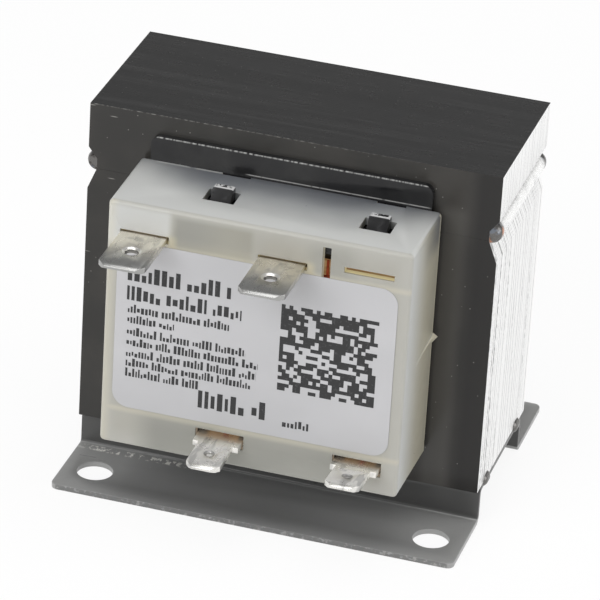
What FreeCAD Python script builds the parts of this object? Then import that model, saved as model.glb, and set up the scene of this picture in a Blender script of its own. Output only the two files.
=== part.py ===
import FreeCAD, Part
import math
import os

# Foot-mounted control transformer with a welded laminated core, a split bobbin and clip-on shrouds.
# Frame: origin at the centre of the four foot holes, on the underside of the feet.
# +X to the right and -Y to the front when the terminals face the viewer, +Z up. Millimetres.

# Core sheets
limb_width = 9.525
window_width = 9.525
window_height = 28.575
centre_leg_width = 19.05
yoke_height = 9.525
sheet_thickness = 0.5
sheet_count = 50
groove_depth = 1.25
groove_rise = 3.05
groove_flat = 1.45
groove_drop = 3.1

# Weld beads
seam_bead_radius = 1.5
seam_bead_crown = 0.33
seam_bead_lift = 0.9
seam_bead_end_inset = 0.1
seam_bead_end_chamfer = 0.45
foot_bead_radius = 1.03
foot_bead_crown = 0.45
foot_bead_run = 0.9
foot_bead_spacing = 16.0

# Base bracket
bracket_sheet = 0.8
bracket_height = 5.7
bracket_hat_depth = 22.2
bracket_foot_depth = 47.8
bracket_inner_bend = 0.45
foot_corner_radius = 1.0
hole_spacing_x = 48.0
hole_spacing_y = 36.6
hole_radius = 2.5

# Bobbin
core_clearance = 0.3
bobbin_wall = 1.2
tube_inner_corner = 0.3
tube_outer_corner = 0.8
flange_thickness = 1.3
divider_thickness = 1.2
bobbin_play = 1.175
flange_side_gap = 0.3
shelf_thickness = 1.4
lip_thickness = 1.0
lip_height = 3.5
lip_corner_radius = 1.2
hook_width = 2.8
hook_rise = 1.0
hook_ramp = 1.7
hook_top = 1.1
hook_round = 0.35
pocket_wall = 0.45
pocket_depth = 4.0
pocket_lip = 0.8
groove_clearance = 0.06

# Windings and tape
winding_side_gap = 0.925
tape_thickness = 0.3
winding_corner = 5.5

# Covers
cover_side_overhang = 1.85
cover_end_overhang = 4.5
cover_wall = 1.1
cover_fit = 0.2
cover_draft = 0.1
cover_corner_radius = 0.6
cover_edge_radius = 0.5
front_cover_depth = 13.3
rear_cover_depth = 9.4
window_length = 3.4
window_clearance = 0.75
relief_width = 4.0
relief_depth = 0.45
latch_gap = 0.1
latch_reach = 5.1
latch_left_x = -7.35
latch_right_x = 14.1
rear_latch_x = 13.2
cut_margin = 1.0
slot_clearance_x = 0.2
primary_slot_over = 0.15
primary_slot_under = 0.1
secondary_slot_over = 0.85
secondary_slot_under = 0.45
spare_slot_side_inset = 5.8
spare_slot_width = 6.8
spare_slot_height = 0.85
spare_slot_sink = 0.15
view_slot_side_inset = 11.65
view_slot_width = 1.15
view_slot_height = 5.3

# Label
label_width = 38.5
label_height = 24.9
label_thickness = 0.1
label_corner = 2.3
label_raise = 0.2

# Quick-connect tabs
tab_thickness = 0.8
tab_width = 6.35
tab_tail_inset = 0.2
tab_tip_chamfer = 1.0
tab_bevel_length = 0.45
tab_bevel_depth = 0.22
primary_reach = 10.15
primary_hole_inset = 4.95
primary_hole_radius = 0.88
primary_dimple_radius = 1.35
primary_dimple_depth = 0.25
primary_tab_side_inset = 5.2
primary_tab_spacing = 19.0
primary_tab_drop = 1.4
secondary_blade_width = 4.75
secondary_shoulder = 1.7
secondary_reach = 7.9
secondary_hole_inset = 3.6
secondary_hole_radius = 0.5
secondary_dimple_radius = 0.72
secondary_dimple_depth = 0.12
secondary_tab_rise = 0.45
secondary_tab_side_inset = 5.8
secondary_tab_spacing = 19.1
secondary_bend_angle_left = -2.0
secondary_bend_angle_right = 6.0

# Leads
primary_wire_radius = 0.2
secondary_wire_radius = 0.4
lead_forward = 2.1
primary_lead_drop = 6.0
secondary_lead_rise = 5.5
primary_jog_drop = 1.5
lead_landing_inset = 1.6

# Places worked out from the sizes above
core_width = 2 * limb_width + 2 * window_width + centre_leg_width
core_height = 2 * yoke_height + window_height
stack_depth = sheet_thickness * sheet_count
core_front = -stack_depth / 2
core_back = stack_depth / 2
half_core = core_width / 2
core_bottom = bracket_height
yoke_top = core_bottom + yoke_height
seam_z = yoke_top + window_height
core_top = seam_z + yoke_height
half_leg = centre_leg_width / 2
window_outer = half_leg + window_width

bobbin_height = window_height - bobbin_play
bobbin_bottom = yoke_top
bobbin_top = bobbin_bottom + bobbin_height
bobbin_middle = (bobbin_bottom + bobbin_top) / 2
tube_inner_x = half_leg + core_clearance
tube_inner_y = stack_depth / 2 + core_clearance
tube_outer_x = tube_inner_x + bobbin_wall
tube_outer_y = tube_inner_y + bobbin_wall
winding_build = window_outer - winding_side_gap - tape_thickness - tube_outer_x
flange_half_x = window_outer - flange_side_gap
winding_half_x = tube_outer_x + winding_build
winding_half_y = tube_outer_y + winding_build
tape_half_x = winding_half_x + tape_thickness
tape_half_y = winding_half_y + tape_thickness
lip_front = stack_depth / 2 + lip_thickness

cover_half_x = window_outer + cover_side_overhang
cover_half_z = bobbin_height / 2 + cover_end_overhang
cover_inner_x = cover_half_x - cover_wall - cover_draft
cover_inner_z = cover_half_z - cover_wall - cover_draft
cover_top = bobbin_middle + cover_half_z
shelf_half_x = cover_inner_x - cover_fit
shelf_half_z = cover_inner_z - cover_fit
front_shelf_reach = lip_front + front_cover_depth - cover_wall - cover_fit
rear_shelf_reach = lip_front + rear_cover_depth - cover_wall - cover_fit
lip_half_z = cover_half_z + lip_height
cover_front = -(lip_front + front_cover_depth)
hook_back = lip_front + latch_reach
hook_front = hook_back + hook_top + hook_ramp

primary_tab_left_x = primary_tab_side_inset - cover_half_x
primary_tab_right_x = primary_tab_left_x + primary_tab_spacing
secondary_tab_right_x = cover_half_x - secondary_tab_side_inset
secondary_tab_left_x = secondary_tab_right_x - secondary_tab_spacing
spare_slot_x = cover_half_x - spare_slot_side_inset
view_slot_x = cover_half_x - view_slot_side_inset
primary_tab_top = bobbin_middle + shelf_half_z - shelf_thickness - primary_tab_drop
primary_tab_bottom = primary_tab_top - tab_thickness
secondary_tab_bottom = bobbin_middle - shelf_half_z + shelf_thickness + secondary_tab_rise
secondary_tab_top = secondary_tab_bottom + tab_thickness
pocket_mouth = -front_shelf_reach
tab_tail_end = pocket_mouth + pocket_depth - tab_tail_inset

tolerance = 0.01
mitred = 1
UP = FreeCAD.Vector(0, 0, 1)
RIGHT = FreeCAD.Vector(1, 0, 0)
BACKWARD = FreeCAD.Vector(0, 1, 0)


def block(x0, x1, y0, y1, z0, z1):
    """A box between two corners."""
    return Part.makeBox(x1 - x0, y1 - y0, z1 - z0, FreeCAD.Vector(x0, y0, z0))


def polygon_face(points):
    """A flat face through the points, closed at the end."""
    corners = [FreeCAD.Vector(*point) for point in points]
    return Part.Face(Part.makePolygon(corners + [corners[0]]))


def rounded_wire(half_x, half_other, radius, place, plane):
    """A rounded rectangle about the axis, in plane XZ at y=place or plane XY at z=place."""
    edges = []
    centres = [(1, 1, 0), (-1, 1, 90), (-1, -1, 180), (1, -1, 270)]
    ends = []
    for side_x, side_other, start in centres:
        cx = side_x * (half_x - radius)
        co = side_other * (half_other - radius)
        arc_points = []
        for angle in (start, start + 45, start + 90):
            turn = math.radians(angle)
            arc_points.append((cx + radius * math.cos(turn), co + radius * math.sin(turn)))
        ends.append(arc_points)
    for index, arc_points in enumerate(ends):
        first, middle, last = [to_plane(point, place, plane) for point in arc_points]
        edges.append(Part.Arc(first, middle, last).toShape())
        following = to_plane(ends[(index + 1) % len(ends)][0], place, plane)
        edges.append(Part.LineSegment(last, following).toShape())
    return Part.Wire(edges)


def to_plane(point, place, plane):
    """Puts a flat point at its place in the chosen plane."""
    if plane == "XZ":
        return FreeCAD.Vector(point[0], place, point[1])
    return FreeCAD.Vector(point[0], point[1], place)


def rounded_ring(inner_half, outer_half, inner_radius, outer_radius, z0, z1):
    """A ring of rounded rectangles standing on z0."""
    height = UP * (z1 - z0)
    outer = Part.Face(rounded_wire(outer_half[0], outer_half[1], outer_radius, z0, "XY")).extrude(height)
    inner = Part.Face(rounded_wire(inner_half[0], inner_half[1], inner_radius, z0, "XY")).extrude(height)
    return outer.cut(inner)


def mirrored(shape, normal):
    """The shape mirrored about the origin's plane across the normal."""
    return shape.mirror(FreeCAD.Vector(0, 0, 0), normal)


def edges_where(shape, test):
    """The edges of a shape whose middle passes the test."""
    chosen = []
    for edge in shape.Edges:
        middle = edge.valueAt((edge.FirstParameter + edge.LastParameter) / 2)
        if test(edge, middle):
            chosen.append(edge)
    return chosen


def e_outline():
    """The E sheet's outline in the XZ plane, legs up, with its share of the side grooves."""
    groove_bottom = half_core - groove_depth
    right = [
        (half_core, core_bottom),
        (half_core, seam_z - groove_drop),
        (groove_bottom, seam_z),
        (window_outer, seam_z),
        (window_outer, yoke_top),
        (half_leg, yoke_top),
        (half_leg, seam_z),
    ]
    left = [(-x, z) for x, z in reversed(right)]
    return right + left


def i_outline():
    """The I sheet's outline in the XZ plane, with the upper part of the side grooves."""
    groove_bottom = half_core - groove_depth
    right = [
        (groove_bottom, seam_z),
        (groove_bottom, seam_z + groove_flat),
        (half_core, seam_z + groove_rise),
        (half_core, core_top),
    ]
    left = [(-x, z) for x, z in reversed(right)]
    return right + left


def sheet_stack(outline):
    """A stack of equal sheets from front to back, each its own solid."""
    sheet = polygon_face([(x, core_front, z) for x, z in outline]).extrude(BACKWARD * sheet_thickness)
    sheets = []
    for index in range(sheet_count):
        copy = sheet.copy()
        copy.translate(BACKWARD * (index * sheet_thickness))
        sheets.append(copy)
    return Part.makeCompound(sheets)


def seam_bead(side):
    """The weld bead that fills the groove along the joint of E and I sheets on one side."""
    centre_x = half_core + seam_bead_crown - seam_bead_radius
    start = FreeCAD.Vector(centre_x, core_front + seam_bead_end_inset, seam_z + seam_bead_lift)
    bead = Part.makeCylinder(seam_bead_radius, stack_depth - 2 * seam_bead_end_inset, start, BACKWARD)
    rims = edges_where(bead, lambda edge, middle: isinstance(edge.Curve, Part.Circle))
    bead = bead.makeChamfer(seam_bead_end_chamfer, rims)
    for outline in (e_outline(), i_outline()):
        bead = bead.cut(polygon_face([(x, core_front, z) for x, z in outline]).extrude(BACKWARD * stack_depth))
    solid = max(bead.Solids, key=lambda piece: piece.BoundBox.XMax)
    return solid if side > 0 else mirrored(solid, RIGHT)


def foot_beads(side):
    """Two small rounded weld beads that hold the core to the bracket on one side."""
    beads = []
    for sign in (-1, 1):
        centre = FreeCAD.Vector(half_core + foot_bead_crown - foot_bead_radius,
                                sign * foot_bead_spacing / 2, core_bottom)
        first = centre - BACKWARD * (foot_bead_run / 2)
        last = centre + BACKWARD * (foot_bead_run / 2)
        bead = Part.makeCylinder(foot_bead_radius, foot_bead_run, first, BACKWARD)
        for end in (first, last):
            bead = bead.fuse(Part.makeSphere(foot_bead_radius, end))
        reach = foot_bead_radius + foot_bead_run
        room = block(half_core, half_core + reach, centre.y - reach, centre.y + reach,
                     core_bottom - reach, core_bottom + reach)
        bead = bead.common(room).removeSplitter()
        beads.append(bead.Solids[0] if side > 0 else mirrored(bead.Solids[0], RIGHT))
    return Part.makeCompound(beads)


def base_bracket():
    """The hat-section bracket, folded from one sheet, with a foot at the front and one at the back."""
    half_hat = bracket_hat_depth / 2
    half_foot = bracket_foot_depth / 2
    back_half = [
        (half_hat - bracket_sheet, bracket_height - bracket_sheet),
        (half_hat - bracket_sheet, 0),
        (half_foot, 0),
        (half_foot, bracket_sheet),
        (half_hat, bracket_sheet),
        (half_hat, bracket_height),
    ]
    front_half = [(-y, z) for y, z in reversed(back_half)]
    face = polygon_face([(-half_core, y, z) for y, z in back_half + front_half])
    bracket = face.extrude(RIGHT * core_width)
    outer_bend = bracket_inner_bend + bracket_sheet

    def at(edge, middle, y, z):
        along = abs(edge.Length - core_width) < tolerance
        return along and abs(abs(middle.y) - y) < tolerance and abs(middle.z - z) < tolerance

    inside = edges_where(bracket, lambda e, m: at(e, m, half_hat, bracket_sheet)
                         or at(e, m, half_hat - bracket_sheet, bracket_height - bracket_sheet))
    bracket = bracket.makeFillet(bracket_inner_bend, inside)
    outside = edges_where(bracket, lambda e, m: at(e, m, half_hat, bracket_height)
                          or at(e, m, half_hat - bracket_sheet, 0))
    bracket = bracket.makeFillet(outer_bend, outside)
    corners = edges_where(bracket, lambda e, m: abs(e.Length - bracket_sheet) < tolerance
                          and abs(abs(m.x) - half_core) < tolerance and abs(abs(m.y) - half_foot) < tolerance)
    bracket = bracket.makeFillet(foot_corner_radius, corners)
    for side_x in (-1, 1):
        for side_y in (-1, 1):
            centre = FreeCAD.Vector(side_x * hole_spacing_x / 2, side_y * hole_spacing_y / 2, 0)
            bracket = bracket.cut(Part.makeCylinder(hole_radius, bracket_sheet, centre, UP))
    return bracket


def tube():
    """The bobbin's tube round the centre leg."""
    return rounded_ring((tube_inner_x, tube_inner_y), (tube_outer_x, tube_outer_y), tube_inner_corner,
                        tube_outer_corner, bobbin_bottom, bobbin_top)


def window_flange(z0, z1):
    """A flange that parts the winding rooms, with the leg's hole, reaching past the core in Y."""
    reach = tape_half_y
    plate = block(-flange_half_x, flange_half_x, -reach, reach, z0, z1)
    hole = block(-tube_inner_x, tube_inner_x, -tube_inner_y, tube_inner_y, z0, z1)
    return plate.cut(hole)


def lip_and_shelf(direction, upward, reach):
    """The upright lip in front of a yoke and the shelf that carries the cover, on one side."""
    inner = core_back * direction
    outer = lip_front * direction
    y0, y1 = sorted((inner, outer))
    base = bobbin_height / 2 - flange_thickness
    low, high = sorted((bobbin_middle + upward * base, bobbin_middle + upward * lip_half_z))
    lip = block(-shelf_half_x, shelf_half_x, y0, y1, low, high)
    tip = bobbin_middle + upward * lip_half_z
    corners = edges_where(lip, lambda e, m: abs(e.Length - lip_thickness) < tolerance
                          and abs(m.z - tip) < tolerance)
    lip = lip.makeFillet(lip_corner_radius, corners)
    y0, y1 = sorted((inner, reach * direction))
    z0, z1 = sorted((bobbin_middle + upward * shelf_half_z,
                     bobbin_middle + upward * (shelf_half_z - shelf_thickness)))
    return lip.fuse(block(-shelf_half_x, shelf_half_x, y0, y1, z0, z1))


def latch_hook(x, direction, upward):
    """A latch hook on a shelf: ramp towards the cover's mouth, upright face towards the core."""
    base = bobbin_middle + upward * shelf_half_z
    tip = bobbin_middle + upward * (cover_half_z + hook_rise)
    outline = [
        (x - hook_width / 2, direction * hook_back, base),
        (x - hook_width / 2, direction * hook_back, tip),
        (x - hook_width / 2, direction * (hook_back + hook_top), tip),
        (x - hook_width / 2, direction * hook_front, base),
    ]
    hook = polygon_face(outline).extrude(RIGHT * hook_width)
    crown = edges_where(hook, lambda e, m: abs(m.z - tip) < tolerance and abs(m.y) < hook_back + hook_top)
    return hook.makeFillet(hook_round, crown)


def tab_pocket(x, low, high, tab_low, tab_high):
    """Two grooved cheeks that hold a tab by its edges, open between them."""
    front = pocket_mouth
    back = front + pocket_depth
    half = tab_width / 2 + groove_clearance
    outer = half + pocket_wall
    cheeks = block(x - outer, x + outer, front, back, low, high)
    cheeks = cheeks.cut(block(x - half + pocket_lip, x + half - pocket_lip, front, back, low, high))
    return cheeks.cut(block(x - half, x + half, front, back, tab_low, tab_high))


def bobbin():
    """The split bobbin: tube, three flanges, lips, shelves, hooks and tab pockets in one moulding."""
    body = tube()
    half = bobbin_height / 2
    for z0, z1 in ((bobbin_bottom, bobbin_bottom + flange_thickness),
                   (bobbin_middle - divider_thickness / 2, bobbin_middle + divider_thickness / 2),
                   (bobbin_middle + half - flange_thickness, bobbin_top)):
        body = body.fuse(window_flange(z0, z1))
    for upward in (-1, 1):
        body = body.fuse(lip_and_shelf(-1, upward, front_shelf_reach))
        body = body.fuse(lip_and_shelf(1, upward, rear_shelf_reach))
        for x in (latch_left_x, latch_right_x):
            body = body.fuse(latch_hook(x * upward, -1, upward))
        for x in (-rear_latch_x, rear_latch_x):
            body = body.fuse(latch_hook(x, 1, upward))
    shelf_under = bobbin_middle + shelf_half_z - shelf_thickness
    shelf_over = bobbin_middle - shelf_half_z + shelf_thickness
    for x in (primary_tab_left_x, primary_tab_right_x):
        body = body.fuse(tab_pocket(x, primary_tab_bottom - pocket_lip, shelf_under,
                                    primary_tab_bottom, primary_tab_top + groove_clearance))
    for x in (secondary_tab_left_x, secondary_tab_right_x):
        body = body.fuse(tab_pocket(x, shelf_over, secondary_tab_top + pocket_lip,
                                    secondary_tab_bottom, secondary_tab_top + groove_clearance))
    return body.removeSplitter()


def winding(z0, z1):
    """A wound coil that fills one room of the bobbin."""
    return rounded_ring((tube_outer_x, tube_outer_y), (winding_half_x, winding_half_y), tube_outer_corner,
                        winding_corner, z0, z1)


def tape(z0, z1):
    """The film tape round a coil."""
    return rounded_ring((winding_half_x, winding_half_y), (tape_half_x, tape_half_y), winding_corner,
                        winding_corner + tape_thickness, z0, z1)


def drafted_block(half_x, half_z, near, far):
    """A block across Y that narrows by the draft from its near face to its far face."""
    slim_x = half_x - cover_draft
    slim_z = half_z - cover_draft
    return Part.makeWedge(-half_x, near, -half_z, -slim_z, -slim_x, half_x, far, half_z, slim_z, slim_x)


def shroud(depth, direction):
    """A drafted open box over the winding heads, its rim against the bobbin's lips."""
    face = lip_front + depth
    outer = drafted_block(cover_half_x, cover_half_z, lip_front, face)
    lengthwise = edges_where(outer, lambda e, m: lip_front + tolerance < m.y < face - tolerance)
    outer = outer.makeFillet(cover_corner_radius, lengthwise)
    outer = outer.makeFillet(cover_edge_radius, edges_where(outer, lambda e, m: m.y > face - tolerance))
    inner = drafted_block(cover_half_x - cover_wall, cover_half_z - cover_wall, lip_front, face - cover_wall)
    shell = outer.cut(inner)
    shell.translate(UP * bobbin_middle)
    return shell if direction > 0 else mirrored(shell, BACKWARD)


def latch_window(x, direction, upward):
    """The hole in a cover's wall that a hook catches in."""
    half = hook_width / 2 + window_clearance
    edge = (hook_back - latch_gap) * direction
    far = (hook_back - latch_gap + window_length) * direction
    y0, y1 = sorted((edge, far))
    z0, z1 = sorted((bobbin_middle + upward * (cover_inner_z - cut_margin),
                     bobbin_middle + upward * (cover_half_z + cut_margin)))
    return block(x - half, x + half, y0, y1, z0, z1)


def rim_relief(x, direction, upward):
    """The shallow relief in a cover's rim behind a hook, which lets the wall flex over it."""
    half = relief_width / 2
    y0, y1 = sorted((lip_front * direction, (lip_front + relief_depth) * direction))
    z0, z1 = sorted((bobbin_middle + upward * (cover_inner_z - cut_margin),
                     bobbin_middle + upward * (cover_half_z + cut_margin)))
    return block(x - half, x + half, y0, y1, z0, z1)


def face_slot(x, width, z0, z1):
    """A slot through the front wall of the cover."""
    return block(x - width / 2, x + width / 2, cover_front - cut_margin, cover_front + cover_wall, z0, z1)


def front_cover():
    """The terminal-side cover, with latch windows, tab slots, a spare slot and a view slot."""
    cover = shroud(front_cover_depth, -1)
    for upward in (-1, 1):
        for x in (latch_left_x, latch_right_x):
            cover = cover.cut(latch_window(x * upward, -1, upward))
            cover = cover.cut(rim_relief(x * upward, -1, upward))
    slot_width = tab_width + 2 * slot_clearance_x
    for x in (primary_tab_left_x, primary_tab_right_x):
        cover = cover.cut(face_slot(x, slot_width, primary_tab_bottom - primary_slot_under,
                                    primary_tab_top + primary_slot_over))
    for x in (secondary_tab_left_x, secondary_tab_right_x):
        cover = cover.cut(face_slot(x, slot_width, secondary_tab_bottom - secondary_slot_under,
                                    secondary_tab_top + secondary_slot_over))
    spare_low = primary_tab_top - spare_slot_sink
    cover = cover.cut(face_slot(spare_slot_x, spare_slot_width, spare_low, spare_low + spare_slot_height))
    view_top = bobbin_middle + cover_inner_z
    cover = cover.cut(face_slot(view_slot_x, view_slot_width, view_top - view_slot_height, view_top))
    return cover


def rear_cover():
    """The plain cover at the back."""
    cover = shroud(rear_cover_depth, 1)
    for upward in (-1, 1):
        for x in (-rear_latch_x, rear_latch_x):
            cover = cover.cut(latch_window(x, 1, upward))
            cover = cover.cut(rim_relief(x, 1, upward))
    return cover


def label():
    """The rounded sheet on the face of the front cover."""
    wire = rounded_wire(label_width / 2, label_height / 2, label_corner, cover_front, "XZ")
    sheet = Part.Face(wire).extrude(BACKWARD * -label_thickness)
    sheet.translate(UP * (bobbin_middle + label_raise))
    return sheet


def quick_tab(x, bottom, reach, blade_width, shoulder, hole_inset, hole_radius, dimple_radius, dimple_depth):
    """A flat tab: tail in its pocket, body through the slot, blade with chamfers, bevels and a hole."""
    tip = cover_front - reach
    half = tab_width / 2
    blade = blade_width / 2
    top = bottom + tab_thickness
    right = [(x + half, tab_tail_end)]
    if shoulder > 0:
        right += [(x + half, cover_front - shoulder), (x + blade, cover_front - shoulder)]
    right += [(x + blade, tip + tab_tip_chamfer), (x + blade - tab_tip_chamfer, tip)]
    left = [(2 * x - px, py) for px, py in reversed(right)]
    plan = polygon_face([(px, py, bottom) for px, py in right + left]).extrude(UP * tab_thickness)
    profile = polygon_face([
        (x - half, tab_tail_end, bottom),
        (x - half, tab_tail_end, top),
        (x - half, tip + tab_bevel_length, top),
        (x - half, tip, top - tab_bevel_depth),
        (x - half, tip, bottom + tab_bevel_depth),
        (x - half, tip + tab_bevel_length, bottom),
    ]).extrude(RIGHT * tab_width)
    tab = plan.common(profile)
    hole_y = tip + hole_inset
    tab = tab.cut(Part.makeCylinder(hole_radius, tab_thickness, FreeCAD.Vector(x, hole_y, bottom), UP))
    dimple = Part.makeCone(hole_radius, dimple_radius, dimple_depth,
                           FreeCAD.Vector(x, hole_y, top - dimple_depth), UP)
    return tab.cut(dimple).Solids[0]


def bent(tab, x, bottom, degrees):
    """A tab bent up at its pocket's mouth by the angle, or down where the angle is negative."""
    half = tab_width / 2 + cut_margin
    low = bottom - cut_margin
    high = bottom + tab_thickness + cut_margin
    tail = tab.common(block(x - half, x + half, pocket_mouth, tab_tail_end + cut_margin, low, high))
    blade = tab.common(block(x - half, x + half, tab.BoundBox.YMin - cut_margin, pocket_mouth, low, high))
    hinge_z = bottom if degrees > 0 else bottom + tab_thickness
    blade.rotate(FreeCAD.Vector(x, pocket_mouth, hinge_z), RIGHT, -degrees)
    return tail.fuse(blade).removeSplitter().Solids[0]


def primary_tab(x):
    """A 6.35 mm tab of the upper row."""
    return quick_tab(x, primary_tab_bottom, primary_reach, tab_width, 0, primary_hole_inset,
                     primary_hole_radius, primary_dimple_radius, primary_dimple_depth)


def secondary_tab(x, degrees):
    """A 4.75 mm shouldered tab of the lower row, slightly bent as in use."""
    flat = quick_tab(x, secondary_tab_bottom, secondary_reach, secondary_blade_width, secondary_shoulder,
                     secondary_hole_inset, secondary_hole_radius, secondary_dimple_radius, secondary_dimple_depth)
    return bent(flat, x, secondary_tab_bottom, degrees)


def lead(points, wire_radius):
    """An enamelled wire of straight runs, mitred where it turns."""
    corners = [FreeCAD.Vector(*point) for point in points]
    circle = Part.Circle(corners[0], corners[1] - corners[0], wire_radius)
    return Part.makePolygon(corners).makePipeShell([Part.Wire([circle.toShape()])], True, False, mitred)


def primary_lead(tab_x, start_x):
    """A lead from the primary coil to the underside of a tab, bent across below the pocket."""
    start_z = bobbin_top - flange_thickness - primary_lead_drop
    y = -tape_half_y - lead_forward
    jog_z = primary_tab_bottom - pocket_lip - primary_jog_drop
    end_x = tab_x + math.copysign(tab_width / 2 - lead_landing_inset, start_x - tab_x)
    return lead([
        (start_x, -tape_half_y, start_z),
        (start_x, y, start_z),
        (start_x, y, jog_z),
        (end_x, y, jog_z),
        (end_x, y, primary_tab_bottom),
    ], primary_wire_radius)


def secondary_lead(tab_x):
    """A lead from the secondary coil down to the top of a tab."""
    y = -tape_half_y - lead_forward
    start_z = secondary_tab_top + secondary_lead_rise
    return lead([
        (tab_x, -tape_half_y, start_z),
        (tab_x, y, start_z),
        (tab_x, y, secondary_tab_top),
    ], secondary_wire_radius)


def build():
    """All the nodes by name."""
    room_top = bobbin_top - flange_thickness
    room_bottom = bobbin_bottom + flange_thickness
    divider_top = bobbin_middle + divider_thickness / 2
    divider_bottom = bobbin_middle - divider_thickness / 2
    return {
        "base_bracket": base_bracket(),
        "e_laminations": sheet_stack(e_outline()),
        "i_laminations": sheet_stack(i_outline()),
        "weld_bead_left": seam_bead(-1),
        "weld_bead_right": seam_bead(1),
        "bracket_welds_left": foot_beads(-1),
        "bracket_welds_right": foot_beads(1),
        "bobbin": bobbin(),
        "primary_winding": winding(divider_top, room_top),
        "secondary_winding": winding(room_bottom, divider_bottom),
        "primary_tape": tape(divider_top, room_top),
        "secondary_tape": tape(room_bottom, divider_bottom),
        "front_cover": front_cover(),
        "rear_cover": rear_cover(),
        "label": label(),
        "primary_tab_left": primary_tab(primary_tab_left_x),
        "primary_tab_right": primary_tab(primary_tab_right_x),
        "secondary_tab_left": secondary_tab(secondary_tab_left_x, secondary_bend_angle_left),
        "secondary_tab_right": secondary_tab(secondary_tab_right_x, secondary_bend_angle_right),
        "primary_lead_left": primary_lead(primary_tab_left_x, primary_tab_left_x + tab_width),
        "primary_lead_right": primary_lead(primary_tab_right_x, view_slot_x),
        "secondary_lead_left": secondary_lead(secondary_tab_left_x),
        "secondary_lead_right": secondary_lead(secondary_tab_right_x),
    }


os.makedirs("parts", exist_ok=True)
for name, shape in build().items():
    shape.exportStep(f"parts/{name}.step")
    box = shape.BoundBox
    print(f"{name}: {len(shape.Solids)} solids, valid {shape.isValid()}, {shape.Volume:.1f} mm3, "
          f"x {box.XMin:.2f}..{box.XMax:.2f} y {box.YMin:.2f}..{box.YMax:.2f} z {box.ZMin:.2f}..{box.ZMax:.2f}")
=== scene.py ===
"""Looks of a small foot-mounted control transformer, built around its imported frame.

Lengths are written in millimetres and scaled to metres where a mesh is made. +X is right, -Y is the
terminal side and +Z is up, as in the frame. Every sub-assembly is a class, and every finish is a small
class that makes one procedural material.

In a finish, a Span holds the two values between which a mask goes from 0 to 1. Where a blur goes with it,
it holds the two ends of what the mask covers, and a gloss_range holds the least and the most roughness.
A Span whose name ends in x, y or z lies along that axis. One whose name ends in wide, depth or height
holds distances to either side of the middle, along x, y or z.
"""

import functools
import logging
import math
import random
from collections.abc import Iterable
from dataclasses import dataclass
from enum import Enum

import bmesh
import bpy
from mathutils import Matrix, Vector

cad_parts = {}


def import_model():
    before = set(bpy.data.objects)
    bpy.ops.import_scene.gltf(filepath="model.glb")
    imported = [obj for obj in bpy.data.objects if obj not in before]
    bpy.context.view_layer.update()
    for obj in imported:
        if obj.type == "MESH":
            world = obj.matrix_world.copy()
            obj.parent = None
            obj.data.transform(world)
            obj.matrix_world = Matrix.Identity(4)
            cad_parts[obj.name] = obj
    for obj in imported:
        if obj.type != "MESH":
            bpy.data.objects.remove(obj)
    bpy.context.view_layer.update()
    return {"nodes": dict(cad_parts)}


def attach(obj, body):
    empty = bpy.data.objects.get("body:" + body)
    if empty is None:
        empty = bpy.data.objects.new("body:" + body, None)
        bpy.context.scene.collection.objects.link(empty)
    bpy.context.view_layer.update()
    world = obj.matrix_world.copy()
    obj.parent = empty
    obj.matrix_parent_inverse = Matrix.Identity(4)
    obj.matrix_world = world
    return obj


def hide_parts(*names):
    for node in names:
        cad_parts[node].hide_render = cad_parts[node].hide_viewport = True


LOG = logging.getLogger("transformer")
MM = 0.001
BODY = "root"

Colour = tuple[float, float, float]
Triple = tuple[float, float, float]
Span = tuple[float, float]

BLACK: Colour = (0.0, 0.0, 0.0)


class Way(Enum):
    """The two opposite ways that a surface may face, by the part of its normal."""

    SIDES = "x"
    TOP_AND_BOTTOM = "z"


@dataclass(frozen=True)
class Grain:
    """How a noise runs.

    per_mm is in cycles for each millimetre along each axis, detail is the number of finer layers, and
    shift moves the pattern, so that two noises differ. Where span is given, its first value becomes 0
    and its second 1.
    """

    per_mm: Triple
    detail: float = 2.0
    shift: float = 0.0
    span: Span | None = None


@dataclass(frozen=True)
class Speckle:
    """How specks lie.

    spacing is the distance between places for a speck, size its radius as a part of the spacing, and
    share the share of places that hold one. squeeze says how much shorter a speck is along each axis:
    below 1 it is drawn out to a dash.
    """

    spacing: float
    size: float
    share: float
    squeeze: Triple = (1.0, 1.0, 1.0)


@dataclass(frozen=True)
class Patch:
    """A rectangle seen from the front, with soft edges, and how strongly it shows."""

    x_span: Span
    z_span: Span
    blur: float
    weight: float = 1.0


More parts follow.
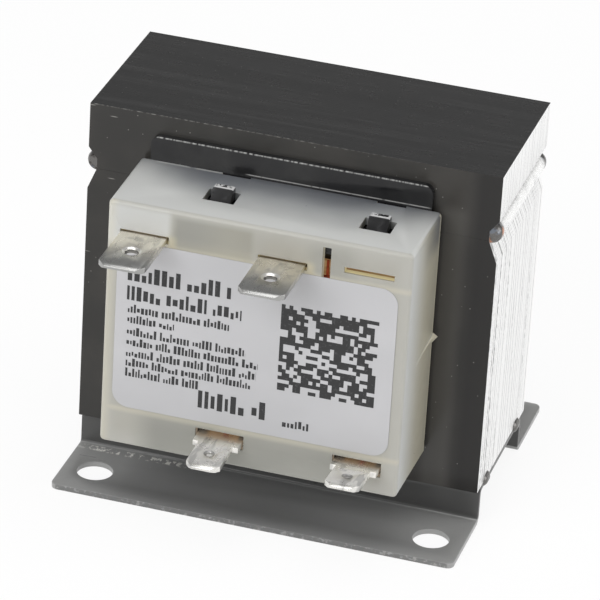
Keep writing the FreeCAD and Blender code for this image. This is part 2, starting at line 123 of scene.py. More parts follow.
class Signal:
    """One output socket of a node tree, with arithmetic that adds Math nodes."""

    def __init__(self, bench: "Bench", socket: bpy.types.NodeSocket) -> None:
        """Keeps the socket and the bench that owns its tree."""
        self.bench = bench
        self.socket = socket

    def _math(self, operation: str, *values: "Signal | float") -> "Signal":
        """A Math node on up to three values."""
        sockets = dict(enumerate(values))
        return self.bench.add("ShaderNodeMath", {"operation": operation}, sockets)

    def __add__(self, other: "Signal | float") -> "Signal":
        """Sum."""
        return self._math("ADD", self, other)

    def __sub__(self, other: "Signal | float") -> "Signal":
        """Difference."""
        return self._math("SUBTRACT", self, other)

    def __rsub__(self, other: float) -> "Signal":
        """Difference, the number first."""
        return self._math("SUBTRACT", other, self)

    def __mul__(self, other: "Signal | float") -> "Signal":
        """Product."""
        return self._math("MULTIPLY", self, other)

    __radd__ = __add__
    __rmul__ = __mul__

    def __abs__(self) -> "Signal":
        """Absolute value."""
        return self._math("ABSOLUTE", self)

    def sine(self) -> "Signal":
        """Sine."""
        return self._math("SINE", self)

    def larger(self, other: "Signal | float") -> "Signal":
        """The larger of the two."""
        return self._math("MAXIMUM", self, other)

    def ramp(self, low: float, high: float) -> "Signal":
        """A smooth step from 0 at low to 1 at high, which may lie below low."""
        limits = {"Value": self, "From Min": low, "From Max": high}
        return self.bench.add("ShaderNodeMapRange", {"interpolation_type": "SMOOTHSTEP"}, limits)

    def within(self, low: float, high: float, blur: float) -> "Signal":
        """1 between low and high, and 0 outside, with soft ends."""
        return self.ramp(low - blur, low + blur) * self.ramp(high + blur, high - blur)


@dataclass
class Place:
    """The three coordinates of a point, or of a normal, as signals."""

    x: Signal
    y: Signal
    z: Signal

    def patches(self, *patches: Patch) -> Signal:
        """The strongest of several patches at this place.

        Args:
            patches: The patches.

        Returns:
            A mask that is a patch's weight inside it.
        """
        masks = []
        for patch in patches:
            across, up = self.x.within(*patch.x_span, patch.blur), self.z.within(*patch.z_span, patch.blur)
            masks.append(across * up * patch.weight)
        return functools.reduce(Signal.larger, masks)


class Bench:
    """Fills the node tree of one material or world."""

    facing_span: Span = (0.6, 0.85)
    speck_middle: float = 0.4
    speck_choice: float = 0.02
    mix_inputs: tuple[int, int, int] = (0, 6, 7)
    mix_output: int = 2

    def __init__(self, tree: bpy.types.NodeTree) -> None:
        """Empties the tree."""
        self.tree = tree
        tree.nodes.clear()

    def node(self, kind: str, settings: dict | None = None, sockets: dict | None = None) -> bpy.types.Node:
        """Adds a node.

        Args:
            kind: The node's type.
            settings: Attributes that are set first.
            sockets: Values or signals by input name or index.

        Returns:
            The node.
        """
        node = self.tree.nodes.new(kind)
        for key, value in (settings or {}).items():
            setattr(node, key, value)
        for key, value in (sockets or {}).items():
            if isinstance(value, Signal):
                self.tree.links.new(value.socket, node.inputs[key])
            else:
                node.inputs[key].default_value = value
        return node

    def add(self, kind: str, settings: dict | None = None, sockets: dict | None = None,
            output: str | int = 0) -> Signal:
        """Adds a node and gives one of its outputs."""
        return Signal(self, self.node(kind, settings, sockets).outputs[output])

    def _split(self, vector: Signal) -> Place:
        """The three parts of a vector."""
        node = self.node("ShaderNodeSeparateXYZ", sockets={"Vector": vector})
        return Place(*(Signal(self, socket) for socket in node.outputs))

    def _vector(self) -> Signal:
        """The point in millimetres, as one vector."""
        scaled = {"Vector": self.add("ShaderNodeTexCoord", output="Object"), "Scale": 1.0 / MM}
        return self.add("ShaderNodeVectorMath", {"operation": "SCALE"}, scaled)

    def _stretched(self, scale: Triple, shift: float = 0.0) -> Signal:
        """The point in millimetres, stretched along each axis and shifted."""
        sockets = {"Vector": self._vector(), "Scale": scale, "Location": (shift, shift, shift)}
        return self.add("ShaderNodeMapping", {"vector_type": "POINT"}, sockets)

    def place(self) -> Place:
        """The point in millimetres."""
        return self._split(self._vector())

    def facing(self, way: Way) -> Signal:
        """1 where the surface faces one of two opposite ways."""
        normal = self._split(self.add("ShaderNodeTexCoord", output="Normal"))
        return abs(getattr(normal, way.value)).ramp(*self.facing_span)

    def noise(self, grain: Grain) -> Signal:
        """Smooth noise about 0.5, or a mask where the grain has a span.

        Args:
            grain: How the noise runs.

        Returns:
            The noise.
        """
        point = self._stretched(grain.per_mm, grain.shift)
        sockets = {"Vector": point, "Scale": 1.0, "Detail": grain.detail}
        found = self.add("ShaderNodeTexNoise", {"noise_dimensions": "3D"}, sockets, "Fac")
        return found if grain.span is None else found.ramp(*grain.span)

    def between(self, grain: Grain, low: float, high: float) -> Signal:
        """A noise that is laid between two values."""
        return self.noise(grain) * (high - low) + low

    def specks(self, speckle: Speckle) -> Signal:
        """Scattered specks.

        Args:
            speckle: How they lie.

        Returns:
            A mask that is 1 on a speck.
        """
        sockets = {"Vector": self._stretched(speckle.squeeze), "Scale": 1.0 / speckle.spacing}
        cells = self.node("ShaderNodeTexVoronoi", {"feature": "F1"}, sockets)
        distance = Signal(self, cells.outputs["Distance"])
        pick = self.add("ShaderNodeSeparateColor", sockets={"Color": Signal(self, cells.outputs["Color"])})
        near = distance.ramp(speckle.size, speckle.size * self.speck_middle)
        rest = 1.0 - speckle.share
        return near * pick.ramp(rest, rest + self.speck_choice)

    def mix(self, factor: "Signal | float", first: "Signal | Colour", second: "Signal | Colour") -> Signal:
        """Blends two colours.

        Args:
            factor: How much of the second there is.
            first: The first colour.
            second: The second colour.

        Returns:
            The blend.
        """
        values = [(*value, 1.0) if isinstance(value, tuple) else value for value in (factor, first, second)]
        settings = {"data_type": "RGBA", "clamp_factor": True}
        return self.add("ShaderNodeMix", settings, dict(zip(self.mix_inputs, values)), self.mix_output)

    def surface(self, base: Signal, roughness: "Signal | float", metallic: "Signal | float" = 0.0,
                bump: Signal | None = None, bump_depth: float = 0.0, **uniform: object) -> None:
        """Ends the tree in one Principled shader.

        Args:
            base: The base colour.
            roughness: The roughness.
            metallic: The metallic share.
            bump: A height pattern in 0..1.
            bump_depth: What 1 of that pattern is, in millimetres.
            uniform: Other sockets, spelt with underscores for spaces. Only the emission's colour varies.
        """
        sockets = {"Base Color": base, "Roughness": roughness, "Metallic": metallic}
        sockets.update({name.replace("_", " "): value for name, value in uniform.items()})
        if bump is not None:
            heights = {"Height": bump, "Distance": bump_depth * MM, "Strength": 1.0}
            sockets["Normal"] = self.add("ShaderNodeBump", {}, heights, "Normal")
        shader = self.add("ShaderNodeBsdfPrincipled", {}, sockets, "BSDF")
        self.node("ShaderNodeOutputMaterial", {}, {"Surface": shader})


class Finish:
    """A procedural material. A finish says what its surface is in dress()."""

    def dress(self, bench: Bench) -> None:
        """Fills the material's tree."""
        raise NotImplementedError

    def material(self) -> bpy.types.Material:
        """Gives the material, which is made once for each kind of finish.

        Returns:
            The material.
        """
        name = type(self).__name__
        found = bpy.data.materials.get(name)
        if found is None:
            found = bpy.data.materials.new(name)
            found.use_nodes = True
            self.dress(Bench(found.node_tree))
        return found


@dataclass(frozen=True)
class VarnishedSheet(Finish):
    """Dark varnish over steel sheets, worn to bright cut edges at the sides of the stack."""

    film_dark: Colour = (0.032, 0.031, 0.029)
    film_brown: Colour = (0.048, 0.045, 0.041)
    film_clouds: Grain = Grain((0.09, 0.09, 0.09), 3.0, 0.0, (0.3, 0.7))
    top_film: Colour = (0.012, 0.012, 0.012)
    top_streak: Colour = (0.028, 0.028, 0.028)
    streaks: Grain = Grain((0.03, 2.4, 0.4), 3.0, 5.0, (0.45, 0.75))
    film_right: Colour = (0.019, 0.018, 0.017)
    right_x: Span = (23.6, 26.2)
    film_beside: Colour = (0.068, 0.065, 0.060)
    beside_x: Span = (20.4, 24.0)
    beside_blur: float = 0.9
    beside_z: Span = (48.5, 46.5)

    plain_steel: Colour = (0.58, 0.58, 0.57)
    cut_steel: Colour = (0.97, 0.97, 0.965)
    low_angle: Span = (0.4, 0.74)
    cut_dark: Colour = (0.22, 0.22, 0.22)
    lines: Grain = Grain((0.2, 2.3, 0.03), 2.0, 11.0)
    line_span: Span = (0.64, 0.74)
    line_breaks: Grain = Grain((0.5, 2.2, 1.3), 4.0, 19.0, (0.42, 0.60))
    denser_y: Span = (-3.0, -11.5)
    denser_in_front: float = 0.10
    denser_z: Span = (44.0, 38.0)
    denser_below: float = 0.04
    line_strength: float = 0.75
    upper_z: Span = (43.0, 45.0)
    upper_loss: float = 0.5

    dust: Colour = (0.50, 0.49, 0.46)
    specks: Speckle = Speckle(0.95, 0.11, 0.40)
    speck_strength: float = 0.4
    speck_loss: float = 0.25
    dashes: Speckle = Speckle(1.4, 0.10, 0.75, (0.2, 0.3, 1.7))
    dash_strength: float = 0.45
    dash_x: Span = (-20.0, -24.0)
    rim_y: Span = (-12.34, -12.46)
    rim_z: Span = (53.205, 53.295)
    rim_x: Span = (24.0, -10.0)
    rim_breaks: Grain = Grain((1.5, 0.0, 0.0), 4.0, 2.0, (0.40, 0.66))
    rim_strength: float = 0.35

    gloss: Grain = Grain((0.4, 0.4, 0.4), 3.0, 23.0)
    gloss_range: Span = (0.10, 0.22)
    top_dulling: float = 0.10
    cut_dulling: float = 0.16
    cut_metallic: float = 0.95
    relief: Grain = Grain((1.4, 1.4, 1.4), 3.0, 31.0)
    relief_depth: float = 0.012
    ior: float = 1.38

    def film(self, bench: Bench, at: Place, level: Signal) -> Signal:
        """The varnish: brown clouds in front, streaks on top, dark at the right and pale beside the cover.

        Args:
            bench: The material's bench.
            at: The place on the surface.
            level: 1 on top.

        Returns:
            Its colour.
        """
        clouds = bench.mix(bench.noise(self.film_clouds), self.film_dark, self.film_brown)
        streaks = bench.mix(bench.noise(self.streaks), self.top_film, self.top_streak)
        found = bench.mix(level, clouds, streaks)
        found = bench.mix(at.x.ramp(*self.right_x) * (1.0 - level), found, self.film_right)
        beside = at.x.within(*self.beside_x, self.beside_blur) * at.z.ramp(*self.beside_z)
        return bench.mix(beside * (1.0 - level), found, self.film_beside)

    def cut_edges(self, bench: Bench, at: Place) -> Signal:
        """Bare steel that is brighter at a low angle, with broken dark lines, fewer in the upper sheets.

        Args:
            bench: The material's bench.
            at: The place on the surface.

        Returns:
            Its colour.
        """
        denser = at.y.ramp(*self.denser_y) * self.denser_in_front
        denser = denser + at.z.ramp(*self.denser_z) * self.denser_below
        lines = (bench.noise(self.lines) + denser).ramp(*self.line_span) * bench.noise(self.line_breaks)
        angle = bench.add("ShaderNodeLayerWeight", output="Facing")
        steel = bench.mix(angle.ramp(*self.low_angle), self.plain_steel, self.cut_steel)
        strength = self.line_strength - at.z.ramp(*self.upper_z) * self.upper_loss
        return bench.mix(lines * strength, steel, self.cut_dark)

    def marks(self, bench: Bench, at: Place, level: Signal) -> Signal:
        """Specks, short scratches at the left and a broken pale line along the upper front edge.

        Args:
            bench: The material's bench.
            at: The place on the surface.
            level: 1 on top.

        Returns:
            A mask of the marks.
        """
        specks = bench.specks(self.specks) * (self.speck_strength - level * self.speck_loss)
        dashes = bench.specks(self.dashes) * at.x.ramp(*self.dash_x) * (1.0 - level)
        rim = at.y.ramp(*self.rim_y) * at.z.ramp(*self.rim_z) * at.x.ramp(*self.rim_x)
        worn = rim * bench.noise(self.rim_breaks)
        return specks.larger(dashes * self.dash_strength).larger(worn * self.rim_strength)

    def dress(self, bench: Bench) -> None:
        """Puts varnish on the faces, bright cut edges at the sides, and marks on the varnish.

        Args:
            bench: The material's bench.
        """
        at = bench.place()
        side = bench.facing(Way.SIDES)
        level = bench.facing(Way.TOP_AND_BOTTOM)
        base = bench.mix(side, self.film(bench, at, level), self.cut_edges(bench, at))
        base = bench.mix(self.marks(bench, at, level) * (1.0 - side), base, self.dust)
        gloss = bench.between(self.gloss, *self.gloss_range)
        roughness = gloss + level * self.top_dulling + side * self.cut_dulling
        relief = bench.noise(self.relief)
        bench.surface(base, roughness, side * self.cut_metallic, relief, self.relief_depth, IOR=self.ior)


@dataclass(frozen=True)
class BracketSteel(Finish):
    """Thin dipped varnish over folded steel, scuffed along the front bend."""

    dull: Colour = (0.29, 0.29, 0.29)
    clear: Colour = (0.35, 0.35, 0.345)
    clouds: Grain = Grain((0.06, 0.16, 0.1), 3.0)
    cloud_part: float = 0.5
    dull_middle: float = -2.0
    clear_ends: Span = (10.0, 27.0)
    end_part: float = 0.65

    shaded: Colour = (0.045, 0.045, 0.044)
    shade_strength: float = 0.9
    wall_z: Span = (0.84, 1.0)
    edge_y: Span = (-23.84, -23.9)
    edge_shade: float = 0.6

    edge: Colour = (0.48, 0.48, 0.47)
    edge_strength: float = 0.5
    rim_y: Span = (-23.7, -23.88)
    rim_breaks: Grain = Grain((2.2, 2.2, 2.2), 3.0, 8.0, (0.52, 0.7))

    scuff: Colour = (0.85, 0.84, 0.80)
    strokes: Grain = Grain((2.2, 1.3, 0.8), 3.0, 4.0, (0.50, 0.58))
    scuffed_x: Span = (-27.5, -12.5)
    scuffed_x_blur: float = 2.5
    scuffed_y: Span = (-12.9, -11.7)
    scuffed_y_blur: float = 0.25
    specks: Speckle = Speckle(1.9, 0.05, 0.14)
    speck_strength: float = 0.45

    gloss: Grain = Grain((0.15, 0.5, 0.3), 3.0, 12.0)
    gloss_range: Span = (0.22, 0.42)
    metallic: float = 0.25
    relief: Grain = Grain((0.8, 3.0, 3.0), 3.0, 15.0)
    relief_depth: float = 0.006
    ior: float = 1.45

    def dress(self, bench: Bench) -> None:
        """Grey that is darker in the middle and on the walls, with scuffs at the left of the bend.

        Args:
            bench: The material's bench.
        """
        at = bench.place()
        ends = abs(at.x - self.dull_middle).ramp(*self.clear_ends)
        cloud = bench.noise(self.clouds) * self.cloud_part + ends * self.end_part
        base = bench.mix(cloud, self.dull, self.clear)
        upright = at.z.ramp(*self.wall_z).larger(at.y.ramp(*self.edge_y) * self.edge_shade)
        base = bench.mix(upright * self.shade_strength, base, self.shaded)
        rim = at.y.ramp(*self.rim_y) * bench.noise(self.rim_breaks)
        base = bench.mix(rim * self.edge_strength, base, self.edge)
        bend = at.x.within(*self.scuffed_x, self.scuffed_x_blur)
        bend = bend * at.y.within(*self.scuffed_y, self.scuffed_y_blur)
        scuffs = (bench.noise(self.strokes) * bend).larger(bench.specks(self.specks) * self.speck_strength)
        base = bench.mix(scuffs, base, self.scuff)
        roughness = bench.between(self.gloss, *self.gloss_range)
        bench.surface(base, roughness, self.metallic, bench.noise(self.relief), self.relief_depth,
                      IOR=self.ior)


@dataclass(frozen=True)
class WeldMetal(Finish):
    """Bare weld, silver along its run and heat-tinted at its ends."""

    bare: Colour = (0.95, 0.95, 0.94)
    grey: Colour = (0.66, 0.66, 0.66)
    grey_patches: Grain = Grain((0.5, 0.4, 0.5), 3.0, 0.0, (0.52, 0.7))
    grey_strength: float = 0.6
    run_metallic: float = 0.35

    dark: Colour = (0.16, 0.155, 0.15)
    end_depth: Span = (10.2, 11.4)
    left_x: Span = (0.0, -1.0)
    foot_z: Span = (9.0, 8.0)
    dark_metallic: float = 0.95

    soot: Colour = (0.05, 0.046, 0.043)
    soot_patches: Grain = Grain((0.7, 0.7, 0.7), 3.0, 3.0, (0.42, 0.56))
    copper: Colour = (0.60, 0.27, 0.15)
    copper_patches: Grain = Grain((0.9, 0.9, 0.5), 2.0, 5.0, (0.52, 0.64))
    copper_x: Span = (0.0, 1.0)
    copper_y: Span = (1.0, 0.0)
    blue: Colour = (0.20, 0.23, 0.28)
    blue_patches: Grain = Grain((0.8, 0.5, 0.8), 2.0, 9.0, (0.52, 0.66))
    blue_strength: float = 0.6

    gloss: Grain = Grain((2.0, 2.0, 2.0), 3.0, 13.0)
    gloss_range: Span = (0.15, 0.40)
    relief: Grain = Grain((2.5, 2.5, 2.5), 2.0, 17.0)
    relief_depth: float = 0.03

    def dress(self, bench: Bench) -> None:
        """Silver with grey patches, dark at the ends, with soot, copper at the right front, and blue.

        Args:
            bench: The material's bench.
        """
        at = bench.place()
        end = abs(at.y).ramp(*self.end_depth)
        dark = end.larger(at.x.ramp(*self.left_x)).larger(at.z.ramp(*self.foot_z))
        base = bench.mix(bench.noise(self.grey_patches) * self.grey_strength, self.bare, self.grey)
        base = bench.mix(dark, base, self.dark)
        base = bench.mix(end * bench.noise(self.soot_patches), base, self.soot)
        right_front = at.x.ramp(*self.copper_x) * at.y.ramp(*self.copper_y)
        base = bench.mix(end * bench.noise(self.copper_patches) * right_front, base, self.copper)
        base = bench.mix(end * bench.noise(self.blue_patches) * self.blue_strength, base, self.blue)
        roughness = bench.between(self.gloss, *self.gloss_range)
        metallic = dark * (self.dark_metallic - self.run_metallic) + self.run_metallic
        bench.surface(base, roughness, metallic, bench.noise(self.relief), self.relief_depth)


@dataclass(frozen=True)
class GlossBlackMoulding(Finish):
    """Glossy black moulded plastic with faint flow marks, a light dust and a worn lip."""

    deep: Colour = (0.011, 0.011, 0.012)
    haze: Colour = (0.022, 0.022, 0.022)
    flow: Grain = Grain((0.2, 0.2, 0.2), 3.0, 0.0, (0.35, 0.75))

    dust: Colour = (0.45, 0.45, 0.44)
    specks: Speckle = Speckle(1.7, 0.05, 0.1)
    speck_strength: float = 0.5
    lip_y: Span = (-13.28, -13.42)
    lip_z: Span = (50.42, 50.56)
    lip_breaks: Grain = Grain((2.4, 0.0, 0.0), 4.0, 2.0, (0.36, 0.60))
    lip_ends_wide: Span = (20.68, 20.82)
    lip_ends_z: Span = (46.0, 47.5)
    lip_strength: float = 0.8
    foot_x: Span = (-6.0, 19.2)
    foot_x_blur: float = 0.5
    foot_y: Span = (-14.3, -13.35)
    foot_y_blur: float = 0.1
    foot_z: Span = (47.43, 47.57)
    foot_z_blur: float = 0.05
    foot_breaks: Grain = Grain((0.9, 0.0, 0.0), 3.0, 5.0, (0.30, 0.48))
    foot_strength: float = 0.9

    crown_grey: Colour = (0.55, 0.55, 0.55)
    crown_places: tuple[float, ...] = (-7.35, 14.1)
    crown_half: float = 1.4
    crown_y: Span = (-19.75, -18.55)
    crown_z: Span = (47.825, 48.005)
    crown_blur: float = 0.05
    crown_edge_x: float = 0.3
    crown_edge_y: float = 0.25
    crown_edge_blur: float = 0.12
    scribble: Grain = Grain((1.3, 1.3, 1.3), 3.0, 14.0)
    scribble_band: Span = (0.47, 0.56)
    scribble_blur: float = 0.03

    gloss: Grain = Grain((0.5, 0.5, 0.5), 3.0, 6.0)
    gloss_range: Span = (0.10, 0.24)
    relief: Grain = Grain((0.7, 0.7, 0.7), 2.0, 9.0)
    relief_depth: float = 0.03
    ior: float = 1.41

    def lip_lines(self, bench: Bench, at: Place) -> Signal:
        """Broken pale lines along the lip's edge and along its foot.

        Args:
            bench: The material's bench.
            at: The place on the surface.

        Returns:
            A mask of the lines.
        """
        ends = abs(at.x).ramp(*self.lip_ends_wide) * at.z.ramp(*self.lip_ends_z)
        line = at.z.ramp(*self.lip_z).larger(ends) * at.y.ramp(*self.lip_y)
        foot = at.z.within(*self.foot_z, self.foot_z_blur) * at.x.within(*self.foot_x, self.foot_x_blur)
        foot = foot * at.y.within(*self.foot_y, self.foot_y_blur)
        worn = foot * bench.noise(self.foot_breaks) * self.foot_strength
        return (line * bench.noise(self.lip_breaks)).larger(worn) * self.lip_strength

    def crowns(self, bench: Bench, at: Place) -> Signal:
        """Pale edges and scribbles on the tops of the two hooks that show.

        Args:
            bench: The material's bench.
            at: The place on the surface.

        Returns:
            A mask of the pale parts.
        """
        scribble = bench.noise(self.scribble).within(*self.scribble_band, self.scribble_blur)
        low, high = self.crown_y
        found = []
        for x in self.crown_places:
            left, right = x - self.crown_half, x + self.crown_half
            inside = at.x.within(left, right, self.crown_blur) * at.y.within(low, high, self.crown_blur)
            blur, near_x, near_y = self.crown_edge_blur, self.crown_edge_x, self.crown_edge_y
            middle = at.x.within(left + near_x, right - near_x, blur)
            middle = middle * at.y.within(low + near_y, high - near_y, blur)
            found.append((inside * (1.0 - middle)).larger(inside * scribble))
        return functools.reduce(Signal.larger, found) * at.z.ramp(*self.crown_z)

    def dress(self, bench: Bench) -> None:
        """Black with haze, specks, pale lines at the lip and pale hook tops.

        Args:
            bench: The material's bench.
        """
        at = bench.place()
        base = bench.mix(bench.noise(self.flow), self.deep, self.haze)
        specks = bench.specks(self.specks) * self.speck_strength
        base = bench.mix(specks.larger(self.lip_lines(bench, at)), base, self.dust)
        base = bench.mix(self.crowns(bench, at), base, self.crown_grey)
        roughness = bench.between(self.gloss, *self.gloss_range)
        bench.surface(base, roughness, 0.0, bench.noise(self.relief), self.relief_depth, IOR=self.ior)


@dataclass(frozen=True)
class MilkyMoulding(Finish):
    """Natural translucent moulding: dark parts behind it show as cool grey, and thick edges as straw."""

    milk: Colour = (0.555, 0.562, 0.548)
    middle_z: float = 28.925
    clouds: Grain = Grain((0.08, 0.08, 0.08), 2.0)

    wall: Colour = (0.385, 0.375, 0.335)
    face_depth: Span = (26.0, 26.6)
    outer_wall: float = 0.8
    inner_wide: Span = (20.4, 18.0)
    inner_height: Span = (17.8, 15.0)
    pale_corner: Patch = Patch((-20.9, -12.2), (41.0, 46.6), 0.6)
    flank: Colour = (0.43, 0.405, 0.32)
    flank_depth: Span = (26.4, 17.0)

    cool: Colour = (0.130, 0.138, 0.152)
    cool_depth: Span = (22.5, 11.6)
    cool_clouds: float = 5.0
    middle_wide: Span = (17.0, 9.0)
    middle_shift: float = 2.2
    corner_wide: Span = (16.0, 20.2)
    corner_shift: float = 2.4
    clear_flank_z: Span = (44.5, 41.0)

    veil: Colour = (0.250, 0.250, 0.225)
    haze: Colour = (0.345, 0.325, 0.255)
    veils: tuple[Patch, ...] = (
        Patch((-11.6, -0.9), (41.0, 46.2), 0.6, 0.75),
        Patch((-15.0, 13.5), (9.5, 16.6), 2.4, 0.85),
        Patch((7.0, 13.0), (41.0, 46.2), 1.6, 0.4),
    )
    veil_clouds: float = 1.2
    haze_x: Span = (-10.0, -3.0)
    haze_z: Span = (43.8, 41.6)
    haze_end_x: Span = (2.0, 0.0)
    haze_end_z: Span = (40.4, 40.8)

    straw: Colour = (0.62, 0.58, 0.45)
    rim_depth: Span = (14.1, 13.9)
    rim_strength: float = 0.8
    left_x: Span = (-19.0, -20.4)
    line_outer_height: Span = (13.4, 12.6)
    line_inner_height: Span = (12.0, 12.6)
    line_strength: float = 0.35
    flash_wide: Span = (20.93, 20.99)
    flash_strength: float = 0.9
    ridge_x: Span = (-18.6, -7.6)
    ridge_blur: float = 0.4
    ridge_depth: Span = (14.0, 13.8)
    ridge_breaks: Grain = Grain((0.5, 0.5, 0.5), 3.0, 6.0, (0.34, 0.5))
    ridge_strength: float = 0.75

    amber: Colour = (0.60, 0.53, 0.32)
    tan: Colour = (0.36, 0.30, 0.23)
    glows: tuple[Patch, ...] = (
        Patch((-12.7, -11.4), (41.4, 43.2), 0.6, 0.45),
        Patch((6.2, 7.6), (41.4, 43.2), 0.6, 0.45),
    )
    slot_front: Span = (26.66, 26.4)
    slot_back: Span = (25.5, 25.7)
    slot_wide: Span = (19.2, 18.9)
    slot_height: Span = (17.0, 16.8)
    lower_slots_z: Span = (34.0, 30.0)
    narrow_slot_x: Span = (8.2, 10.3)
    narrow_slot_blur: float = 0.1
    narrow_slot_wall: float = 0.7
    slot_light: float = 0.35

    gloss: Grain = Grain((0.5, 0.5, 0.5), 3.0, 4.0)
    gloss_range: Span = (0.24, 0.39)
    relief: Grain = Grain((0.25, 0.25, 0.25), 2.0, 8.0)
    relief_depth: float = 0.06
    ior: float = 1.47
    scatter: float = 0.15
    scatter_colours: Triple = (1.0, 1.0, 0.9)
    scatter_depth: float = 1.2

    def walls(self, bench: Bench, at: Place, face: Signal, cloud: Signal) -> Signal:
        """Milk on top, a duller front with a pale corner, straw flanks, and cool grey towards the rim.

        Args:
            bench: The material's bench.
            at: The place on the surface.
            face: 1 on the front.
            cloud: Slow noise about 0.

        Returns:
            The colour of the walls.
        """
        depth, height, wide = abs(at.y), abs(at.z - self.middle_z), abs(at.x)
        level = bench.facing(Way.TOP_AND_BOTTOM)
        flank = bench.facing(Way.SIDES)
        inner = wide.ramp(*self.inner_wide) * height.ramp(*self.inner_height)
        base = bench.mix(face * (inner * (1.0 - self.outer_wall) + self.outer_wall), self.milk, self.wall)
        base = bench.mix(at.patches(self.pale_corner) * face, base, self.milk)
        base = bench.mix(flank * depth.ramp(*self.flank_depth), base, self.flank)
        corner = wide.ramp(*self.corner_wide) * level * self.corner_shift
        middle = wide.ramp(*self.middle_wide) * self.middle_shift
        cool = (depth - middle + corner + cloud * self.cool_clouds).ramp(*self.cool_depth)
        return bench.mix(cool * (1.0 - flank * at.z.ramp(*self.clear_flank_z)), base, self.cool)

    def veiled(self, bench: Bench, at: Place, base: Signal, strength: Signal) -> Signal:
        """Lays grey veils on the front where the bobbin's walls stand behind it, warmer at the upper right.

        Args:
            bench: The material's bench.
            at: The place on the surface.
            base: The colour so far.
            strength: How strong the veils are.

        Returns:
            The colour with the veils.
        """
        warm = (at.x.ramp(*self.haze_x) * 0.5 + at.z.ramp(*self.haze_z) * 0.5) * at.z.ramp(*self.haze_end_z)
        grey = bench.mix(warm * at.x.ramp(*self.haze_end_x), self.veil, self.haze)
        return bench.mix(at.patches(*self.veils) * strength, base, grey)

    def edged(self, bench: Bench, at: Place, base: Signal, face: Signal) -> Signal:
        """Lays straw on the rim, the front's edges and the flash, a pale ridge at the back and amber glows.

        Args:
            bench: The material's bench.
            at: The place on the surface.
            base: The colour so far.
            face: 1 on the front.

        Returns:
            The colour with the edges.
        """
        depth, height, wide = abs(at.y), abs(at.z - self.middle_z), abs(at.x)
        rim = bench.facing(Way.SIDES) * depth.ramp(*self.rim_depth)
        base = bench.mix(rim * self.rim_strength, base, self.straw)
        lines = height.ramp(*self.line_outer_height) * height.ramp(*self.line_inner_height)
        base = bench.mix(at.x.ramp(*self.left_x).larger(lines) * face * self.line_strength, base, self.straw)
        base = bench.mix(wide.ramp(*self.flash_wide) * self.flash_strength, base, self.straw)
        base = bench.mix(at.patches(*self.glows) * face, base, self.amber)
        ridge = at.x.within(*self.ridge_x, self.ridge_blur) * bench.noise(self.ridge_breaks)
        ridge = ridge * depth.ramp(*self.ridge_depth) * bench.facing(Way.TOP_AND_BOTTOM)
        return bench.mix(ridge * self.ridge_strength, base, self.milk)

    def dress(self, bench: Bench) -> None:
        """Dresses the walls and edges, and the inside of the slots, which is faintly lit from behind.

        Args:
            bench: The material's bench.
        """
        at = bench.place()
        depth, height, wide = abs(at.y), abs(at.z - self.middle_z), abs(at.x)
        cloud = bench.noise(self.clouds) - 0.5
        face = depth.ramp(*self.face_depth)
        base = self.walls(bench, at, face, cloud)
        base = self.veiled(bench, at, base, face * (1.0 - cloud.larger(0.0) * self.veil_clouds))
        base = self.edged(bench, at, base, face)
        inside = depth.ramp(*self.slot_front) * depth.ramp(*self.slot_back)
        inside = inside * wide.ramp(*self.slot_wide) * height.ramp(*self.slot_height)
        slot = bench.mix(at.z.ramp(*self.lower_slots_z), self.amber, self.tan)
        narrow = at.x.within(*self.narrow_slot_x, self.narrow_slot_blur) * self.narrow_slot_wall
        slot = bench.mix(narrow, slot, self.wall)
        lit = bench.mix(inside, BLACK, slot)
        roughness = bench.between(self.gloss, *self.gloss_range)
        base = bench.mix(inside, base, slot)
        bench.surface(base, roughness, 0.0, bench.noise(self.relief), self.relief_depth, IOR=self.ior,
                      Subsurface_Weight=self.scatter, Subsurface_Radius=self.scatter_colours,
                      Subsurface_Scale=self.scatter_depth * MM, Emission_Color=lit,
                      Emission_Strength=self.slot_light)


@dataclass(frozen=True)
class LabelFilm(Finish):
    """Matte silver-white film."""

    pale: Colour = (0.525, 0.522, 0.535)
    grey: Colour = (0.43, 0.43, 0.44)
    clouds: Grain = Grain((0.05, 0.05, 0.08), 2.0, 0.0, (0.3, 0.7))
    cloud_part: float = 0.4
    dull_part: float = 0.6
    dull_middle: Patch = Patch((-9.0, 9.0), (33.0, 44.0), 7.0)
    dull_foot: Span = (26.0, 14.0)
    foot_strength: float = 0.9
    gloss: Grain = Grain((0.4, 0.4, 0.4), 2.0, 3.0)
    gloss_range: Span = (0.45, 0.55)
    tooth: Grain = Grain((5.0, 5.0, 5.0), 2.0, 5.0)
    tooth_depth: float = 0.004
    ior: float = 1.45

    def dress(self, bench: Bench) -> None:
        """Faint clouds, a duller middle and foot, and a fine tooth.

        Args:
            bench: The material's bench.
        """
        at = bench.place()
        dull = at.patches(self.dull_middle).larger(at.z.ramp(*self.dull_foot) * self.foot_strength)
        share = bench.noise(self.clouds) * self.cloud_part + dull * self.dull_part
        base = bench.mix(share, self.pale, self.grey)
        roughness = bench.between(self.gloss, *self.gloss_range)
        bench.surface(base, roughness, 0.0, bench.noise(self.tooth), self.tooth_depth, IOR=self.ior)


@dataclass(frozen=True)
class PrintInk(Finish):
    """Black thermal print, slightly uneven."""

    black: Colour = (0.018, 0.018, 0.019)
    worn: Colour = (0.06, 0.06, 0.062)
    wear: Grain = Grain((3.0, 3.0, 3.0), 2.0, 0.0, (0.55, 0.8))
    gloss: Grain = Grain((2.0, 2.0, 2.0), 2.0, 4.0)
    gloss_range: Span = (0.45, 0.55)

    def dress(self, bench: Bench) -> None:
        """Black with paler grains."""
        base = bench.mix(bench.noise(self.wear), self.black, self.worn)
        bench.surface(base, bench.between(self.gloss, *self.gloss_range))


